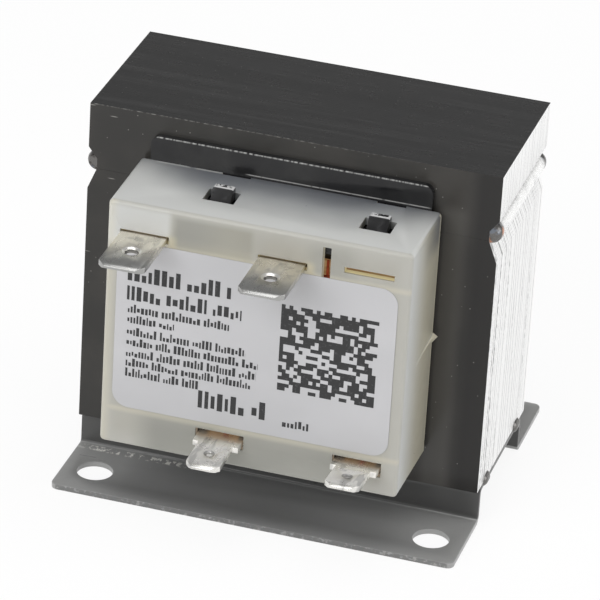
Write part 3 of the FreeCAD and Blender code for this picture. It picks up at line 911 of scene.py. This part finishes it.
@dataclass(frozen=True)
class TinnedMetal(Finish):
    """Tin plating with a drawn grain along the tab, which dulls from the root to the tip."""

    root: Colour = (0.86, 0.82, 0.72)
    tip: Colour = (0.40, 0.40, 0.39)
    fade_y: Span = (-29.5, -35.5)
    fade_grain: Grain = Grain((0.3, 0.3, 0.3), 3.0, 2.0)
    fade_reach: float = 1.0

    spot: Colour = (0.30, 0.30, 0.29)
    spots: Grain = Grain((0.5, 0.5, 0.5), 3.0, 0.0, (0.52, 0.75))
    spot_strength: float = 0.5
    bands: Grain = Grain((0.8, 0.2, 0.4), 2.0, 12.0, (0.54, 0.64))
    band_strength: float = 0.25
    shaded: Colour = (0.36, 0.31, 0.265)
    shade_y: Span = (-27.4, -26.9)
    shade_strength: float = 0.8

    hole_places: tuple[float, ...] = (-15.7, 3.3)
    hole_y: float = -32.0
    hole_rim: float = 1.35
    hole_edge: float = 0.88
    rim_inset: Span = (1.06, 0.94)
    rim_blur: float = 0.12
    wall_outset: float = 1.05
    hole_strength: float = 0.8
    dimple: Colour = (0.93, 0.92, 0.89)
    pit: Colour = (0.05, 0.05, 0.05)

    sheen: float = 1.0
    gloss: Grain = Grain((0.6, 0.3, 0.6), 3.0, 9.0)
    gloss_range: Span = (0.16, 0.41)
    relief: Grain = Grain((5.0, 0.35, 5.0), 3.0, 6.0)
    relief_depth: float = 0.012

    def holed(self, bench: Bench, at: Place, base: Signal) -> Signal:
        """Lays a dimple round each hole and a dark wall in it.

        Args:
            bench: The material's bench.
            at: The place on the surface.
            base: The colour so far.

        Returns:
            The colour with the holes.
        """
        edge, rim = self.hole_edge ** 2, self.hole_rim ** 2
        for x in self.hole_places:
            across, along = at.x - x, at.y - self.hole_y
            spread = across * across + along * along
            ring = spread.within(edge * self.rim_inset[0], rim * self.rim_inset[1], self.rim_blur)
            base = bench.mix(ring * self.hole_strength, base, self.dimple)
            base = bench.mix(spread.ramp(edge * self.wall_outset, edge) * self.hole_strength, base, self.pit)
        return base

    def dress(self, bench: Bench) -> None:
        """Warm bright metal near the cover and grey towards the tip, with grain, patches and holes.

        Args:
            bench: The material's bench.
        """
        at = bench.place()
        reach = bench.between(self.fade_grain, -self.fade_reach, self.fade_reach)
        base = bench.mix((at.y + reach).ramp(*self.fade_y), self.root, self.tip)
        base = bench.mix(bench.noise(self.spots) * self.spot_strength, base, self.spot)
        base = bench.mix(bench.noise(self.bands) * self.band_strength, base, self.spot)
        base = bench.mix(at.y.ramp(*self.shade_y) * self.shade_strength, base, self.shaded)
        base = self.holed(bench, at, base)
        roughness = bench.between(self.gloss, *self.gloss_range)
        bench.surface(base, roughness, self.sheen, bench.noise(self.relief), self.relief_depth)


@dataclass(frozen=True)
class SolderedTin(TinnedMetal):
    """The same plating with a paler, duller skin left by soldering."""

    root: Colour = (0.86, 0.845, 0.80)
    tip: Colour = (0.74, 0.73, 0.70)
    fade_y: Span = (-31.5, -36.0)
    spot: Colour = (0.20, 0.20, 0.20)
    band_strength: float = 0.40
    shaded: Colour = (0.78, 0.71, 0.60)
    hole_places: tuple[float, ...] = (-4.0, 15.1)
    hole_y: float = -31.1
    hole_rim: float = 0.78
    hole_edge: float = 0.5
    dimple: Colour = (0.28, 0.28, 0.28)
    sheen: float = 0.75


@dataclass(frozen=True)
class CopperCoil(Finish):
    """Close turns of enamelled copper."""

    pitch: float = 0.42
    copper: Colour = (0.46, 0.17, 0.08)
    gap: Colour = (0.10, 0.03, 0.02)
    gap_span: Span = (0.0, 0.5)
    gloss: Grain = Grain((0.4, 0.4, 2.0), 2.0)
    gloss_range: Span = (0.22, 0.37)
    metallic: float = 0.8
    relief_depth: float = 0.12
    coat: float = 0.3

    def dress(self, bench: Bench) -> None:
        """Turns as a wave along the coil's axis.

        Args:
            bench: The material's bench.
        """
        wave = abs((bench.place().z * (math.pi / self.pitch)).sine())
        base = bench.mix(wave.ramp(*self.gap_span), self.gap, self.copper)
        roughness = bench.between(self.gloss, *self.gloss_range)
        bench.surface(base, roughness, self.metallic, wave, self.relief_depth, Coat_Weight=self.coat)


@dataclass(frozen=True)
class FilmTape(Finish):
    """Tan polyester film with overlapping edges."""

    tan: Colour = (0.50, 0.34, 0.17)
    brown: Colour = (0.30, 0.18, 0.08)
    laps: Grain = Grain((0.15, 0.15, 1.1), 2.0)
    lap_span: Span = (0.4, 0.65)
    lap_depth: float = 0.05
    gloss: Grain = Grain((0.5, 0.5, 0.5), 2.0, 3.0)
    gloss_range: Span = (0.2, 0.35)
    light: float = 0.35
    ior: float = 1.5

    def dress(self, bench: Bench) -> None:
        """Tan with darker overlaps along the coil, faintly lit through the film.

        Args:
            bench: The material's bench.
        """
        lap = bench.noise(self.laps)
        base = bench.mix(lap.ramp(*self.lap_span), self.tan, self.brown)
        roughness = bench.between(self.gloss, *self.gloss_range)
        bench.surface(base, roughness, 0.0, lap, self.lap_depth, IOR=self.ior,
                      Emission_Color=base, Emission_Strength=self.light)


@dataclass(frozen=True)
class LeadEnamel(Finish):
    """Red enamel over copper wire."""

    red: Colour = (0.50, 0.09, 0.04)
    dark: Colour = (0.22, 0.04, 0.02)
    patches: Grain = Grain((1.0, 1.0, 1.0), 2.0, 0.0, (0.4, 0.7))
    gloss: Grain = Grain((1.5, 1.5, 1.5), 2.0, 4.0)
    gloss_range: Span = (0.2, 0.3)
    metallic: float = 0.3
    coat: float = 0.4
    light: float = 0.15

    def dress(self, bench: Bench) -> None:
        """Red with darker patches, faintly lit through the film.

        Args:
            bench: The material's bench.
        """
        base = bench.mix(bench.noise(self.patches), self.red, self.dark)
        roughness = bench.between(self.gloss, *self.gloss_range)
        bench.surface(base, roughness, self.metallic, Coat_Weight=self.coat,
                      Emission_Color=base, Emission_Strength=self.light)


class Workshop:
    """Makes pieces out of bmeshes and CAD nodes, and puts them on the body."""

    weld_distance: float = 0.002
    flat_angle: float = math.radians(0.6)
    sharp_angle: float = math.radians(32.0)

    def __init__(self, nodes: dict[str, bpy.types.Object]) -> None:
        """Keeps the frame's nodes."""
        self.nodes = nodes

    def piece(self, name: str, shape: bmesh.types.BMesh, slot: str, finish: Finish,
              replaces: tuple[str, ...] = ()) -> bpy.types.Object:
        """Turns a bmesh in millimetres into a piece that rides on the body.

        Args:
            name: The piece's name.
            shape: The mesh, which is freed.
            slot: The record's material slot.
            finish: What it is finished in.
            replaces: CAD nodes that it stands for.

        Returns:
            The piece.
        """
        bmesh.ops.scale(shape, vec=(MM, MM, MM), verts=shape.verts)
        mesh = bpy.data.meshes.new(name)
        shape.to_mesh(mesh)
        shape.free()
        mesh.shade_smooth()
        mesh.set_sharp_from_angle(angle=self.sharp_angle)
        mesh.materials.append(finish.material())
        found = bpy.data.objects.new(name, mesh)
        bpy.context.scene.collection.objects.link(found)
        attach(found, BODY)
        if replaces:
            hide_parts(*replaces)
        LOG.info("%s: %d faces, slot %s", name, len(mesh.polygons), slot)
        return found

    def outline_of(self, node: str) -> bmesh.types.BMesh:
        """Copies a CAD node's mesh in millimetres, merged, with its flat faces joined.

        Args:
            node: The CAD node.

        Returns:
            The copy.
        """
        shape = bmesh.new()
        shape.from_mesh(self.nodes[node].data)
        bmesh.ops.scale(shape, vec=(1 / MM, 1 / MM, 1 / MM), verts=shape.verts)
        bmesh.ops.remove_doubles(shape, verts=shape.verts, dist=self.weld_distance)
        bmesh.ops.dissolve_limit(shape, angle_limit=self.flat_angle, verts=shape.verts, edges=shape.edges)
        return shape

    def softened(self, node: str, slot: str, finish: Finish, width: float,
                 segments: int = 2) -> bpy.types.Object:
        """A CAD node with its sharp edges rounded.

        Args:
            node: The CAD node.
            slot: The record's material slot.
            finish: What it is finished in.
            width: The width of the rounding.
            segments: How many faces the rounding has.

        Returns:
            The piece.
        """
        shape = self.outline_of(node)
        sharp = [edge for edge in shape.edges
                 if len(edge.link_faces) == 2 and edge.calc_face_angle() > self.sharp_angle]
        bmesh.ops.bevel(shape, geom=sharp, offset=width, offset_type="OFFSET", segments=segments, profile=0.5,
                        affect="EDGES", material=-1, clamp_overlap=True, loop_slide=True)
        return self.piece(node + "_dressed", shape, slot, finish, (node,))

    def repaint(self, node: str, finish: Finish) -> None:
        """Gives a CAD node that stays a better material.

        Args:
            node: The CAD node.
            finish: What it is finished in.
        """
        materials = self.nodes[node].data.materials
        materials.clear()
        materials.append(finish.material())
        LOG.info("%s: repainted", node)


@dataclass
class CoreStack:
    """The E and I sheets, one slab each, with their cut edges a little uneven."""

    half_width: float = 28.575
    half_leg: float = 9.525
    window_outer: float = 19.05
    bottom: float = 5.7
    yoke_top: float = 15.225
    seam: float = 43.8
    top: float = 53.325
    groove_depth: float = 1.25
    groove_rise: float = 3.05
    groove_flat: float = 1.45
    groove_drop: float = 3.1
    sheets: int = 50
    thickness: float = 0.5
    e_unevenness: float = 0.028
    i_unevenness: float = 0.012
    e_edge_round: float = 0.026
    i_edge_round: float = 0.014
    seed: int = 5

    def e_outline(self) -> list[tuple[float, float]]:
        """Lists the corners of the E sheet's right half.

        Returns:
            The corners, from the bottom to the centre leg.
        """
        return [
            (self.half_width, self.bottom),
            (self.half_width, self.seam - self.groove_drop),
            (self.half_width - self.groove_depth, self.seam),
            (self.window_outer, self.seam),
            (self.window_outer, self.yoke_top),
            (self.half_leg, self.yoke_top),
            (self.half_leg, self.seam),
        ]

    def i_outline(self) -> list[tuple[float, float]]:
        """Lists the corners of the I sheet's right half.

        Returns:
            The corners, from the seam to the top.
        """
        inner = self.half_width - self.groove_depth
        return [
            (inner, self.seam),
            (inner, self.seam + self.groove_flat),
            (self.half_width, self.seam + self.groove_rise),
            (self.half_width, self.top),
        ]

    def stack(self, right: list[tuple[float, float]], unevenness: float, edge_round: float,
              chance: random.Random) -> bmesh.types.BMesh:
        """A stack of equal sheets.

        Args:
            right: The right half of a sheet's outline.
            unevenness: The most that a sheet stays behind at each side.
            edge_round: How far each sheet's edges are taken off.
            chance: Where the unevenness comes from.

        Returns:
            The stack, from front to back.
        """
        shape = bmesh.new()
        outline = right + [(-x, z) for x, z in reversed(right)]
        first = -self.thickness * self.sheets / 2
        for index in range(self.sheets):
            y = first + index * self.thickness
            shrink = 1.0 - chance.random() * unevenness / self.half_width
            corners = [shape.verts.new((x * shrink, y, z)) for x, z in outline]
            grown = bmesh.ops.extrude_face_region(shape, geom=[shape.faces.new(corners)])["geom"]
            far = [part for part in grown if isinstance(part, bmesh.types.BMVert)]
            bmesh.ops.translate(shape, vec=(0, self.thickness, 0), verts=far)
        bmesh.ops.recalc_face_normals(shape, faces=shape.faces)
        sharp = [edge for edge in shape.edges if edge.calc_face_angle() > Workshop.sharp_angle]
        bmesh.ops.bevel(shape, geom=sharp, offset=edge_round, offset_type="OFFSET", segments=1,
                        profile=0.5, affect="EDGES", material=-1, clamp_overlap=True)
        return shape

    def build(self, shop: Workshop) -> None:
        """Makes both stacks.

        Args:
            shop: The workshop.
        """
        chance = random.Random(self.seed)
        finish = VarnishedSheet()
        e_sheets = self.stack(self.e_outline(), self.e_unevenness, self.e_edge_round, chance)
        shop.piece("e_sheets", e_sheets, "core_steel", finish, ("e_laminations",))
        i_sheets = self.stack(self.i_outline(), self.i_unevenness, self.i_edge_round, chance)
        shop.piece("i_sheets", i_sheets, "core_steel", finish, ("i_laminations",))


@dataclass
class WeldBeads:
    """The two rippled seam beads and the small beads at the bracket."""

    radius: float = 1.5
    crown: float = 0.33
    lift: float = 0.9
    end_inset: float = 0.1
    end_size: float = 0.72
    ripple_pitch: float = 1.1
    ripple_depth: float = 0.04
    least_ripple: float = 0.6
    ripple_variety: float = 0.8
    rings_per_ripple: int = 4
    corners: int = 28
    seed: int = 11

    def rounded_ends(self, along: float, length: float) -> float:
        """Says how much a ring keeps of its radius near either end of the bead.

        Args:
            along: How far along the bead the ring is.
            length: The bead's length.

        Returns:
            The part that it keeps.
        """
        reach = self.radius / 2
        nearest = min(along, length - along, reach)
        return self.end_size + (1.0 - self.end_size) * math.sin(math.pi / 2 * nearest / reach)

    def ring_sizes(self, length: float, steps: int, chance: random.Random) -> list[float]:
        """Lists the radius of each ring along the bead.

        Args:
            length: The bead's length.
            steps: How many steps the rings make.
            chance: Where the variety of the ripples comes from.

        Returns:
            The radii, from front to back.
        """
        sizes = []
        for index in range(steps + 1):
            wave = 0.5 - 0.5 * math.cos(2 * math.pi * index / self.rings_per_ripple)
            dip = self.ripple_depth * wave * (self.least_ripple + self.ripple_variety * chance.random())
            sizes.append((self.radius - dip) * self.rounded_ends(index * length / steps, length))
        return sizes

    def seam_bead(self, core: CoreStack, side: int) -> bmesh.types.BMesh:
        """A rippled bead along one side's groove, cut to the groove.

        Args:
            core: The stack whose groove it fills.
            side: 1 for the right side and -1 for the left.

        Returns:
            The bead.
        """
        length = core.sheets * core.thickness - 2 * self.end_inset
        centre = Vector((core.half_width + self.crown - self.radius, -length / 2, core.seam + self.lift))
        shape = bmesh.new()
        turn = Matrix.Translation(centre) @ Matrix.Rotation(math.pi / 2, 4, "X")
        circle = bmesh.ops.create_circle(shape, cap_ends=True, segments=self.corners, radius=1.0, matrix=turn)
        ring = circle["verts"]
        steps = round(length / self.ripple_pitch) * self.rings_per_ripple
        before = 1.0
        for index, size in enumerate(self.ring_sizes(length, steps, random.Random(self.seed + side))):
            if index:
                rim = [edge for edge in shape.edges if all(vert in ring for vert in edge.verts)]
                grown = bmesh.ops.extrude_edge_only(shape, edges=rim)["geom"]
                ring = [part for part in grown if isinstance(part, bmesh.types.BMVert)]
                bmesh.ops.translate(shape, vec=(0, length / steps, 0), verts=ring)
            here = Matrix.Translation(-Vector((centre.x, ring[0].co.y, centre.z)))
            bmesh.ops.scale(shape, vec=(size / before, 1, size / before), verts=ring, space=here)
            before = size
        bmesh.ops.holes_fill(shape, edges=shape.edges, sides=0)
        bmesh.ops.recalc_face_normals(shape, faces=shape.faces)
        self.cut_to_groove(shape, core)
        if side < 0:
            bmesh.ops.scale(shape, vec=(-1, 1, 1), verts=shape.verts)
            bmesh.ops.reverse_faces(shape, faces=shape.faces)
        return shape

    def cut_to_groove(self, shape: bmesh.types.BMesh, core: CoreStack) -> None:
        """Cuts away what lies inside the sheets, by the groove's three faces.

        Args:
            shape: The bead on the right side, which is changed.
            core: The stack whose groove it fills.
        """
        inner = core.half_width - core.groove_depth
        upper = core.seam + core.groove_flat
        cuts = (
            ((inner, 0, core.seam), (1, 0, 0)),
            ((inner, 0, core.seam), (core.groove_drop, 0, core.groove_depth)),
            ((inner, 0, upper), (core.groove_rise - core.groove_flat, 0, -core.groove_depth)),
        )
        for point, outward in cuts:
            parts = [*shape.verts, *shape.edges, *shape.faces]
            bmesh.ops.bisect_plane(shape, geom=parts, plane_co=point, plane_no=outward, clear_inner=True)
            bmesh.ops.holes_fill(shape, edges=shape.edges, sides=0)

    def build(self, shop: Workshop, core: CoreStack) -> None:
        """Makes the seam beads and repaints the bracket beads.

        Args:
            shop: The workshop.
            core: The stack that is welded.
        """
        for side, name in ((-1, "left"), (1, "right")):
            shop.piece(f"seam_weld_{name}", self.seam_bead(core, side), "weld_metal", WeldMetal(),
                       (f"weld_bead_{name}",))
            shop.repaint(f"bracket_welds_{name}", WeldMetal())


@dataclass
class Coil:
    """The bobbin, what is wound on it and the leads to the tabs."""

    moulding_round: float = 0.14
    wire_radius: float = 0.2
    wire_sides: int = 12
    tape_face: float = -21.1
    riser_x: float = 8.0
    riser_low: float = 36.0
    riser_high: float = 41.2
    branch_high: float = 39.3
    branch_step: tuple[float, float] = (1.1, -1.5)

    def wire(self, shape: bmesh.types.BMesh, first: Vector, last: Vector) -> None:
        """Adds one straight run of wire.

        Args:
            shape: What it is added to.
            first: Where it starts.
            last: Where it ends.
        """
        run = last - first
        turn = run.to_track_quat("Z", "Y").to_matrix().to_4x4()
        bmesh.ops.create_cone(shape, cap_ends=True, segments=self.wire_sides, radius1=self.wire_radius,
                              radius2=self.wire_radius, depth=run.length,
                              matrix=Matrix.Translation((first + last) / 2) @ turn)

    def risers(self) -> bmesh.types.BMesh:
        """Makes the start of the right lead on the tape.

        Returns:
            One run that stands upright and one that branches off.
        """
        y = self.tape_face - self.wire_radius
        shape = bmesh.new()
        low, high = (Vector((self.riser_x, y, z)) for z in (self.riser_low, self.riser_high))
        self.wire(shape, low, high)
        start = Vector((self.riser_x, y - self.wire_radius, self.branch_high))
        self.wire(shape, start, start + Vector((self.branch_step[0], 0.0, self.branch_step[1])))
        return shape

    def build(self, shop: Workshop) -> None:
        """Rounds the bobbin, dresses the windings, tapes and leads, and adds the wire on the tape.

        Args:
            shop: The workshop.
        """
        shop.piece("lead_risers", self.risers(), "lead_enamel", LeadEnamel())
        shop.softened("bobbin", "bobbin_black", GlossBlackMoulding(), self.moulding_round)
        for room in ("primary", "secondary"):
            shop.repaint(f"{room}_winding", CopperCoil())
            shop.repaint(f"{room}_tape", FilmTape())
            for side in ("left", "right"):
                shop.repaint(f"{room}_lead_{side}", LeadEnamel())


@dataclass
class Shrouds:
    """The two clip-on covers, and the sliver of flash on the right rim of the front one.

    The flash has its first six corners on the cover's side and three on its crest: the ridge, the
    middle and the point that stands past the rim.
    """

    edge_round: float = 0.1
    flash_corners: tuple[Triple, ...] = (
        (20.8, -13.62, 29.5),
        (20.8, -18.37, 28.786),
        (20.8, -23.12, 27.8),
        (20.8, -18.37, 28.378),
        (20.8, -14.62, 27.9),
        (20.8, -13.62, 28.4),
        (21.08, -14.52, 28.9),
        (20.968, -18.37, 28.582),
        (21.65, -13.52, 28.84),
    )
    flash_faces: tuple[tuple[int, ...], ...] = (
        (0, 1, 7, 6), (1, 2, 7), (2, 3, 7), (3, 4, 6, 7), (4, 5, 8, 6), (0, 6, 8), (5, 0, 8),
        (5, 4, 3, 2, 1, 0),
    )

    def flash(self) -> bmesh.types.BMesh:
        """Makes a thin peeled ridge that runs down the side and ends in a point past the rim.

        Returns:
            The ridge.
        """
        shape = bmesh.new()
        corners = [shape.verts.new(corner) for corner in self.flash_corners]
        for face in self.flash_faces:
            shape.faces.new([corners[index] for index in face])
        bmesh.ops.recalc_face_normals(shape, faces=shape.faces)
        return shape

    def build(self, shop: Workshop) -> None:
        """Rounds both covers and adds the flash.

        Args:
            shop: The workshop.
        """
        for node in ("front_cover", "rear_cover"):
            shop.softened(node, "cover_milky", MilkyMoulding(), self.edge_round)
        shop.piece("cover_flash", self.flash(), "cover_milky", MilkyMoulding())


@dataclass(frozen=True)
class PrintRow:
    """One row of plain blocks on the label."""

    left: float
    right: float
    top: float
    height: float


@dataclass
class LabelSheet:
    """The film on the front cover with plain blocks and a field of squares in place of print.

    Widths, gaps, heights and lifts of the blocks are parts of their row's height.
    """

    face: float = -26.9
    edge_round: float = 0.03
    edge_segments: int = 1
    ink: float = 0.012
    group_sizes: tuple[int, int] = (5, 12)
    block_widths: Span = (0.16, 0.34)
    block_heights: tuple[float, ...] = (0.45, 0.72, 0.72, 1.0)
    block_lifts: tuple[float, ...] = (0.0, 0.0, 0.28)
    block_gap: float = 0.13
    group_gap: float = 0.42
    field_left: float = 3.6
    field_bottom: float = 23.8
    field_cell: float = 0.533
    field_cells: int = 25
    field_runs: tuple[int, ...] = (1, 1, 2)
    field_share: float = 0.55
    seed: int = 3

    rows: tuple[PrintRow, ...] = (
        PrintRow(-17.7, -3.4, 38.1, 2.3),
        PrintRow(-17.7, -1.8, 35.0, 2.1),
        PrintRow(-17.5, -3.1, 32.3, 1.25),
        PrintRow(-17.5, -11.0, 30.7, 1.2),
        PrintRow(-17.5, -1.0, 28.9, 1.25),
        PrintRow(-17.5, 0.8, 27.3, 1.2),
        PrintRow(-17.5, 0.6, 25.7, 1.25),
        PrintRow(-17.5, 0.0, 24.2, 1.2),
        PrintRow(-17.5, -7.3, 22.7, 1.25),
        PrintRow(-7.2, 2.2, 21.4, 2.6),
        PrintRow(4.6, 8.3, 19.9, 1.5),
    )

    def block(self, shape: bmesh.types.BMesh, left: float, bottom: float, width: float,
              height: float) -> None:
        """Adds one flat block of ink.

        Args:
            shape: What it is added to.
            left: Its left end.
            bottom: Its lower end.
            width: Its width.
            height: Its height.
        """
        middle = Vector((left + width / 2, self.face - self.ink / 2, bottom + height / 2))
        size = Matrix.Diagonal((width, self.ink, height, 1.0))
        bmesh.ops.create_cube(shape, size=1.0, matrix=Matrix.Translation(middle) @ size)

    def print_rows(self, shape: bmesh.types.BMesh, chance: random.Random) -> None:
        """Adds rows of blocks of uneven width, in groups.

        Args:
            shape: What they are added to.
            chance: Where their sizes come from.
        """
        for row in self.rows:
            x = row.left
            group = chance.randint(*self.group_sizes)
            while x < row.right:
                width = min(row.height * chance.uniform(*self.block_widths), row.right - x)
                height = row.height * chance.choice(self.block_heights)
                lift = chance.choice(self.block_lifts) * (row.height - height)
                self.block(shape, x, row.top - row.height + lift, width, height)
                group -= 1
                x += width + row.height * (self.block_gap if group else self.group_gap)
                group = group or chance.randint(*self.group_sizes)

    def print_field(self, shape: bmesh.types.BMesh, chance: random.Random) -> None:
        """Adds the field of squares, about half of them filled at random.

        Args:
            shape: What they are added to.
            chance: What decides which are filled.
        """
        cell = self.field_cell
        for row in range(self.field_cells - 1):
            bottom = self.field_bottom + row * cell
            column = 0
            while column < self.field_cells:
                run = min(chance.choice(self.field_runs), self.field_cells - column)
                if chance.random() < self.field_share:
                    self.block(shape, self.field_left + column * cell, bottom, run * cell, cell)
                column += run

    def build(self, shop: Workshop) -> None:
        """Dresses the film and adds its print.

        Args:
            shop: The workshop.
        """
        shop.softened("label", "label_film", LabelFilm(), self.edge_round, self.edge_segments)
        chance = random.Random(self.seed)
        shape = bmesh.new()
        self.print_rows(shape, chance)
        self.print_field(shape, chance)
        shop.piece("label_print", shape, "label_film", PrintInk())


@dataclass
class Terminals:
    """The four quick-connect tabs."""

    edge_round: float = 0.06

    def build(self, shop: Workshop) -> None:
        """Rounds the tabs' stamped edges.

        Args:
            shop: The workshop.
        """
        for row, finish in (("primary", TinnedMetal()), ("secondary", SolderedTin())):
            for side in ("left", "right"):
                shop.softened(f"{row}_tab_{side}", "tab_metal", finish, self.edge_round)


@dataclass
class Bracket:
    """The folded bracket under the core."""

    edge_round: float = 0.1

    def build(self, shop: Workshop) -> None:
        """Rounds the sheared edges."""
        shop.softened("base_bracket", "bracket_steel", BracketSteel(), self.edge_round)


@dataclass(frozen=True)
class Lamp:
    """A soft square lamp, in metres and watts."""

    name: str
    spot: Triple
    size: float
    power: float


@dataclass
class Studio:
    """Floor, surroundings, lamps and camera, in metres, degrees and the camera's millimetres."""

    azimuth: float = 15.349
    elevation: float = 27.606
    roll: float = 3.532
    distance: float = 0.6457
    target: Triple = (-0.001363, 0.0, 0.023067)
    lens: float = 282.05
    sensor: float = 36.0
    floor_size: float = 40.0
    floor_drop: float = 0.00002
    floor_paint: float = 0.97
    floor_white: float = 0.90
    horizon: float = 1.0
    ceiling: float = 0.36
    ceiling_span: Span = (0.14, 0.34)
    lamps: tuple[Lamp, ...] = (
        Lamp("front_lamp", (-0.28, -0.62, 0.42), 0.5, 2.6),
        Lamp("upper_lamp", (0.05, -0.10, 0.80), 0.6, 2.4),
        Lamp("right_lamp", (0.70, 0.05, 0.30), 0.5, 1.6),
    )

    def camera(self) -> None:
        """The camera at the photograph's place, turned a little about its own axis."""
        azimuth = math.radians(self.azimuth)
        elevation = math.radians(self.elevation)
        roll = math.radians(self.roll)
        back = Vector((math.sin(azimuth) * math.cos(elevation), -math.cos(azimuth) * math.cos(elevation),
                       math.sin(elevation)))
        level = Vector((math.cos(azimuth), math.sin(azimuth), 0.0))
        up = back.cross(level)
        right = level * math.cos(roll) + up * math.sin(roll)
        upward = up * math.cos(roll) - level * math.sin(roll)
        data = bpy.data.cameras.new("camera")
        data.lens = self.lens
        data.sensor_width = self.sensor
        found = bpy.data.objects.new("camera", data)
        turn = Matrix((right, upward, back)).transposed().to_4x4()
        found.matrix_world = Matrix.Translation(Vector(self.target) + back * self.distance) @ turn
        bpy.context.scene.collection.objects.link(found)
        bpy.context.scene.camera = found

    def surroundings(self) -> None:
        """A white horizon under a dimmer ceiling, the same for every kind of ray."""
        world = bpy.data.worlds.new("studio")
        world.use_nodes = True
        bench = Bench(world.node_tree)
        direction = bench.add("ShaderNodeTexCoord", output="Generated")
        height = bench.node("ShaderNodeSeparateXYZ", sockets={"Vector": direction})
        share = Signal(bench, height.outputs["Z"]).ramp(*self.ceiling_span)
        colour = bench.mix(share, (self.horizon,) * 3, (self.ceiling,) * 3)
        shader = bench.add("ShaderNodeBackground", sockets={"Color": colour, "Strength": 1.0})
        bench.node("ShaderNodeOutputWorld", sockets={"Surface": shader})
        bpy.context.scene.world = world

    def floor_finish(self) -> bpy.types.Material:
        """Makes a paint that is white to camera and glossy rays, and still takes the object's shadow.

        Returns:
            The paint.
        """
        material = bpy.data.materials.new("floor_paint")
        material.use_nodes = True
        bench = Bench(material.node_tree)
        paint = bench.add("ShaderNodeBsdfDiffuse", sockets={"Color": (self.floor_paint,) * 3 + (1.0,)})
        white = bench.add("ShaderNodeEmission", sockets={"Color": (1.0, 1.0, 1.0, 1.0), "Strength": 1.0})
        light = bench.node("ShaderNodeLightPath")
        seen = Signal(bench, light.outputs["Is Camera Ray"])
        for kind in ("Is Glossy Ray", "Is Transmission Ray"):
            seen = seen.larger(Signal(bench, light.outputs[kind]))
        mixed = bench.add("ShaderNodeMixShader", sockets={0: seen * self.floor_white, 1: paint, 2: white})
        bench.node("ShaderNodeOutputMaterial", sockets={"Surface": mixed})
        return material

    def floor(self) -> None:
        """A pale floor under the feet."""
        shape = bmesh.new()
        bmesh.ops.create_grid(shape, x_segments=1, y_segments=1, size=self.floor_size / 2)
        bmesh.ops.translate(shape, vec=(0, 0, -self.floor_drop), verts=shape.verts)
        mesh = bpy.data.meshes.new("floor")
        shape.to_mesh(mesh)
        shape.free()
        mesh.materials.append(self.floor_finish())
        found = bpy.data.objects.new("floor", mesh)
        bpy.context.scene.collection.objects.link(found)

    def light(self) -> None:
        """The lamps, each turned to the object."""
        for lamp in self.lamps:
            data = bpy.data.lights.new(lamp.name, "AREA")
            data.shape = "SQUARE"
            data.size = lamp.size
            data.energy = lamp.power
            found = bpy.data.objects.new(lamp.name, data)
            found.location = lamp.spot
            away = Vector(lamp.spot) - Vector(self.target)
            found.rotation_euler = away.to_track_quat("Z", "Y").to_euler()
            bpy.context.scene.collection.objects.link(found)

    def build(self) -> None:
        """Sets the whole studio up."""
        bpy.context.scene.view_settings.view_transform = "Standard"
        self.camera()
        self.surroundings()
        self.floor()
        self.light()


def main() -> None:
    """Builds the studio and every sub-assembly."""
    logging.basicConfig(level=logging.INFO, format="%(name)s %(message)s")
    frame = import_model()
    Studio().build()
    shop = Workshop(frame["nodes"])
    core = CoreStack()
    core.build(shop)
    WeldBeads().build(shop, core)
    Bracket().build(shop)
    Coil().build(shop)
    Shrouds().build(shop)
    LabelSheet().build(shop)
    Terminals().build(shop)


if __name__ == "__main__":
    main()
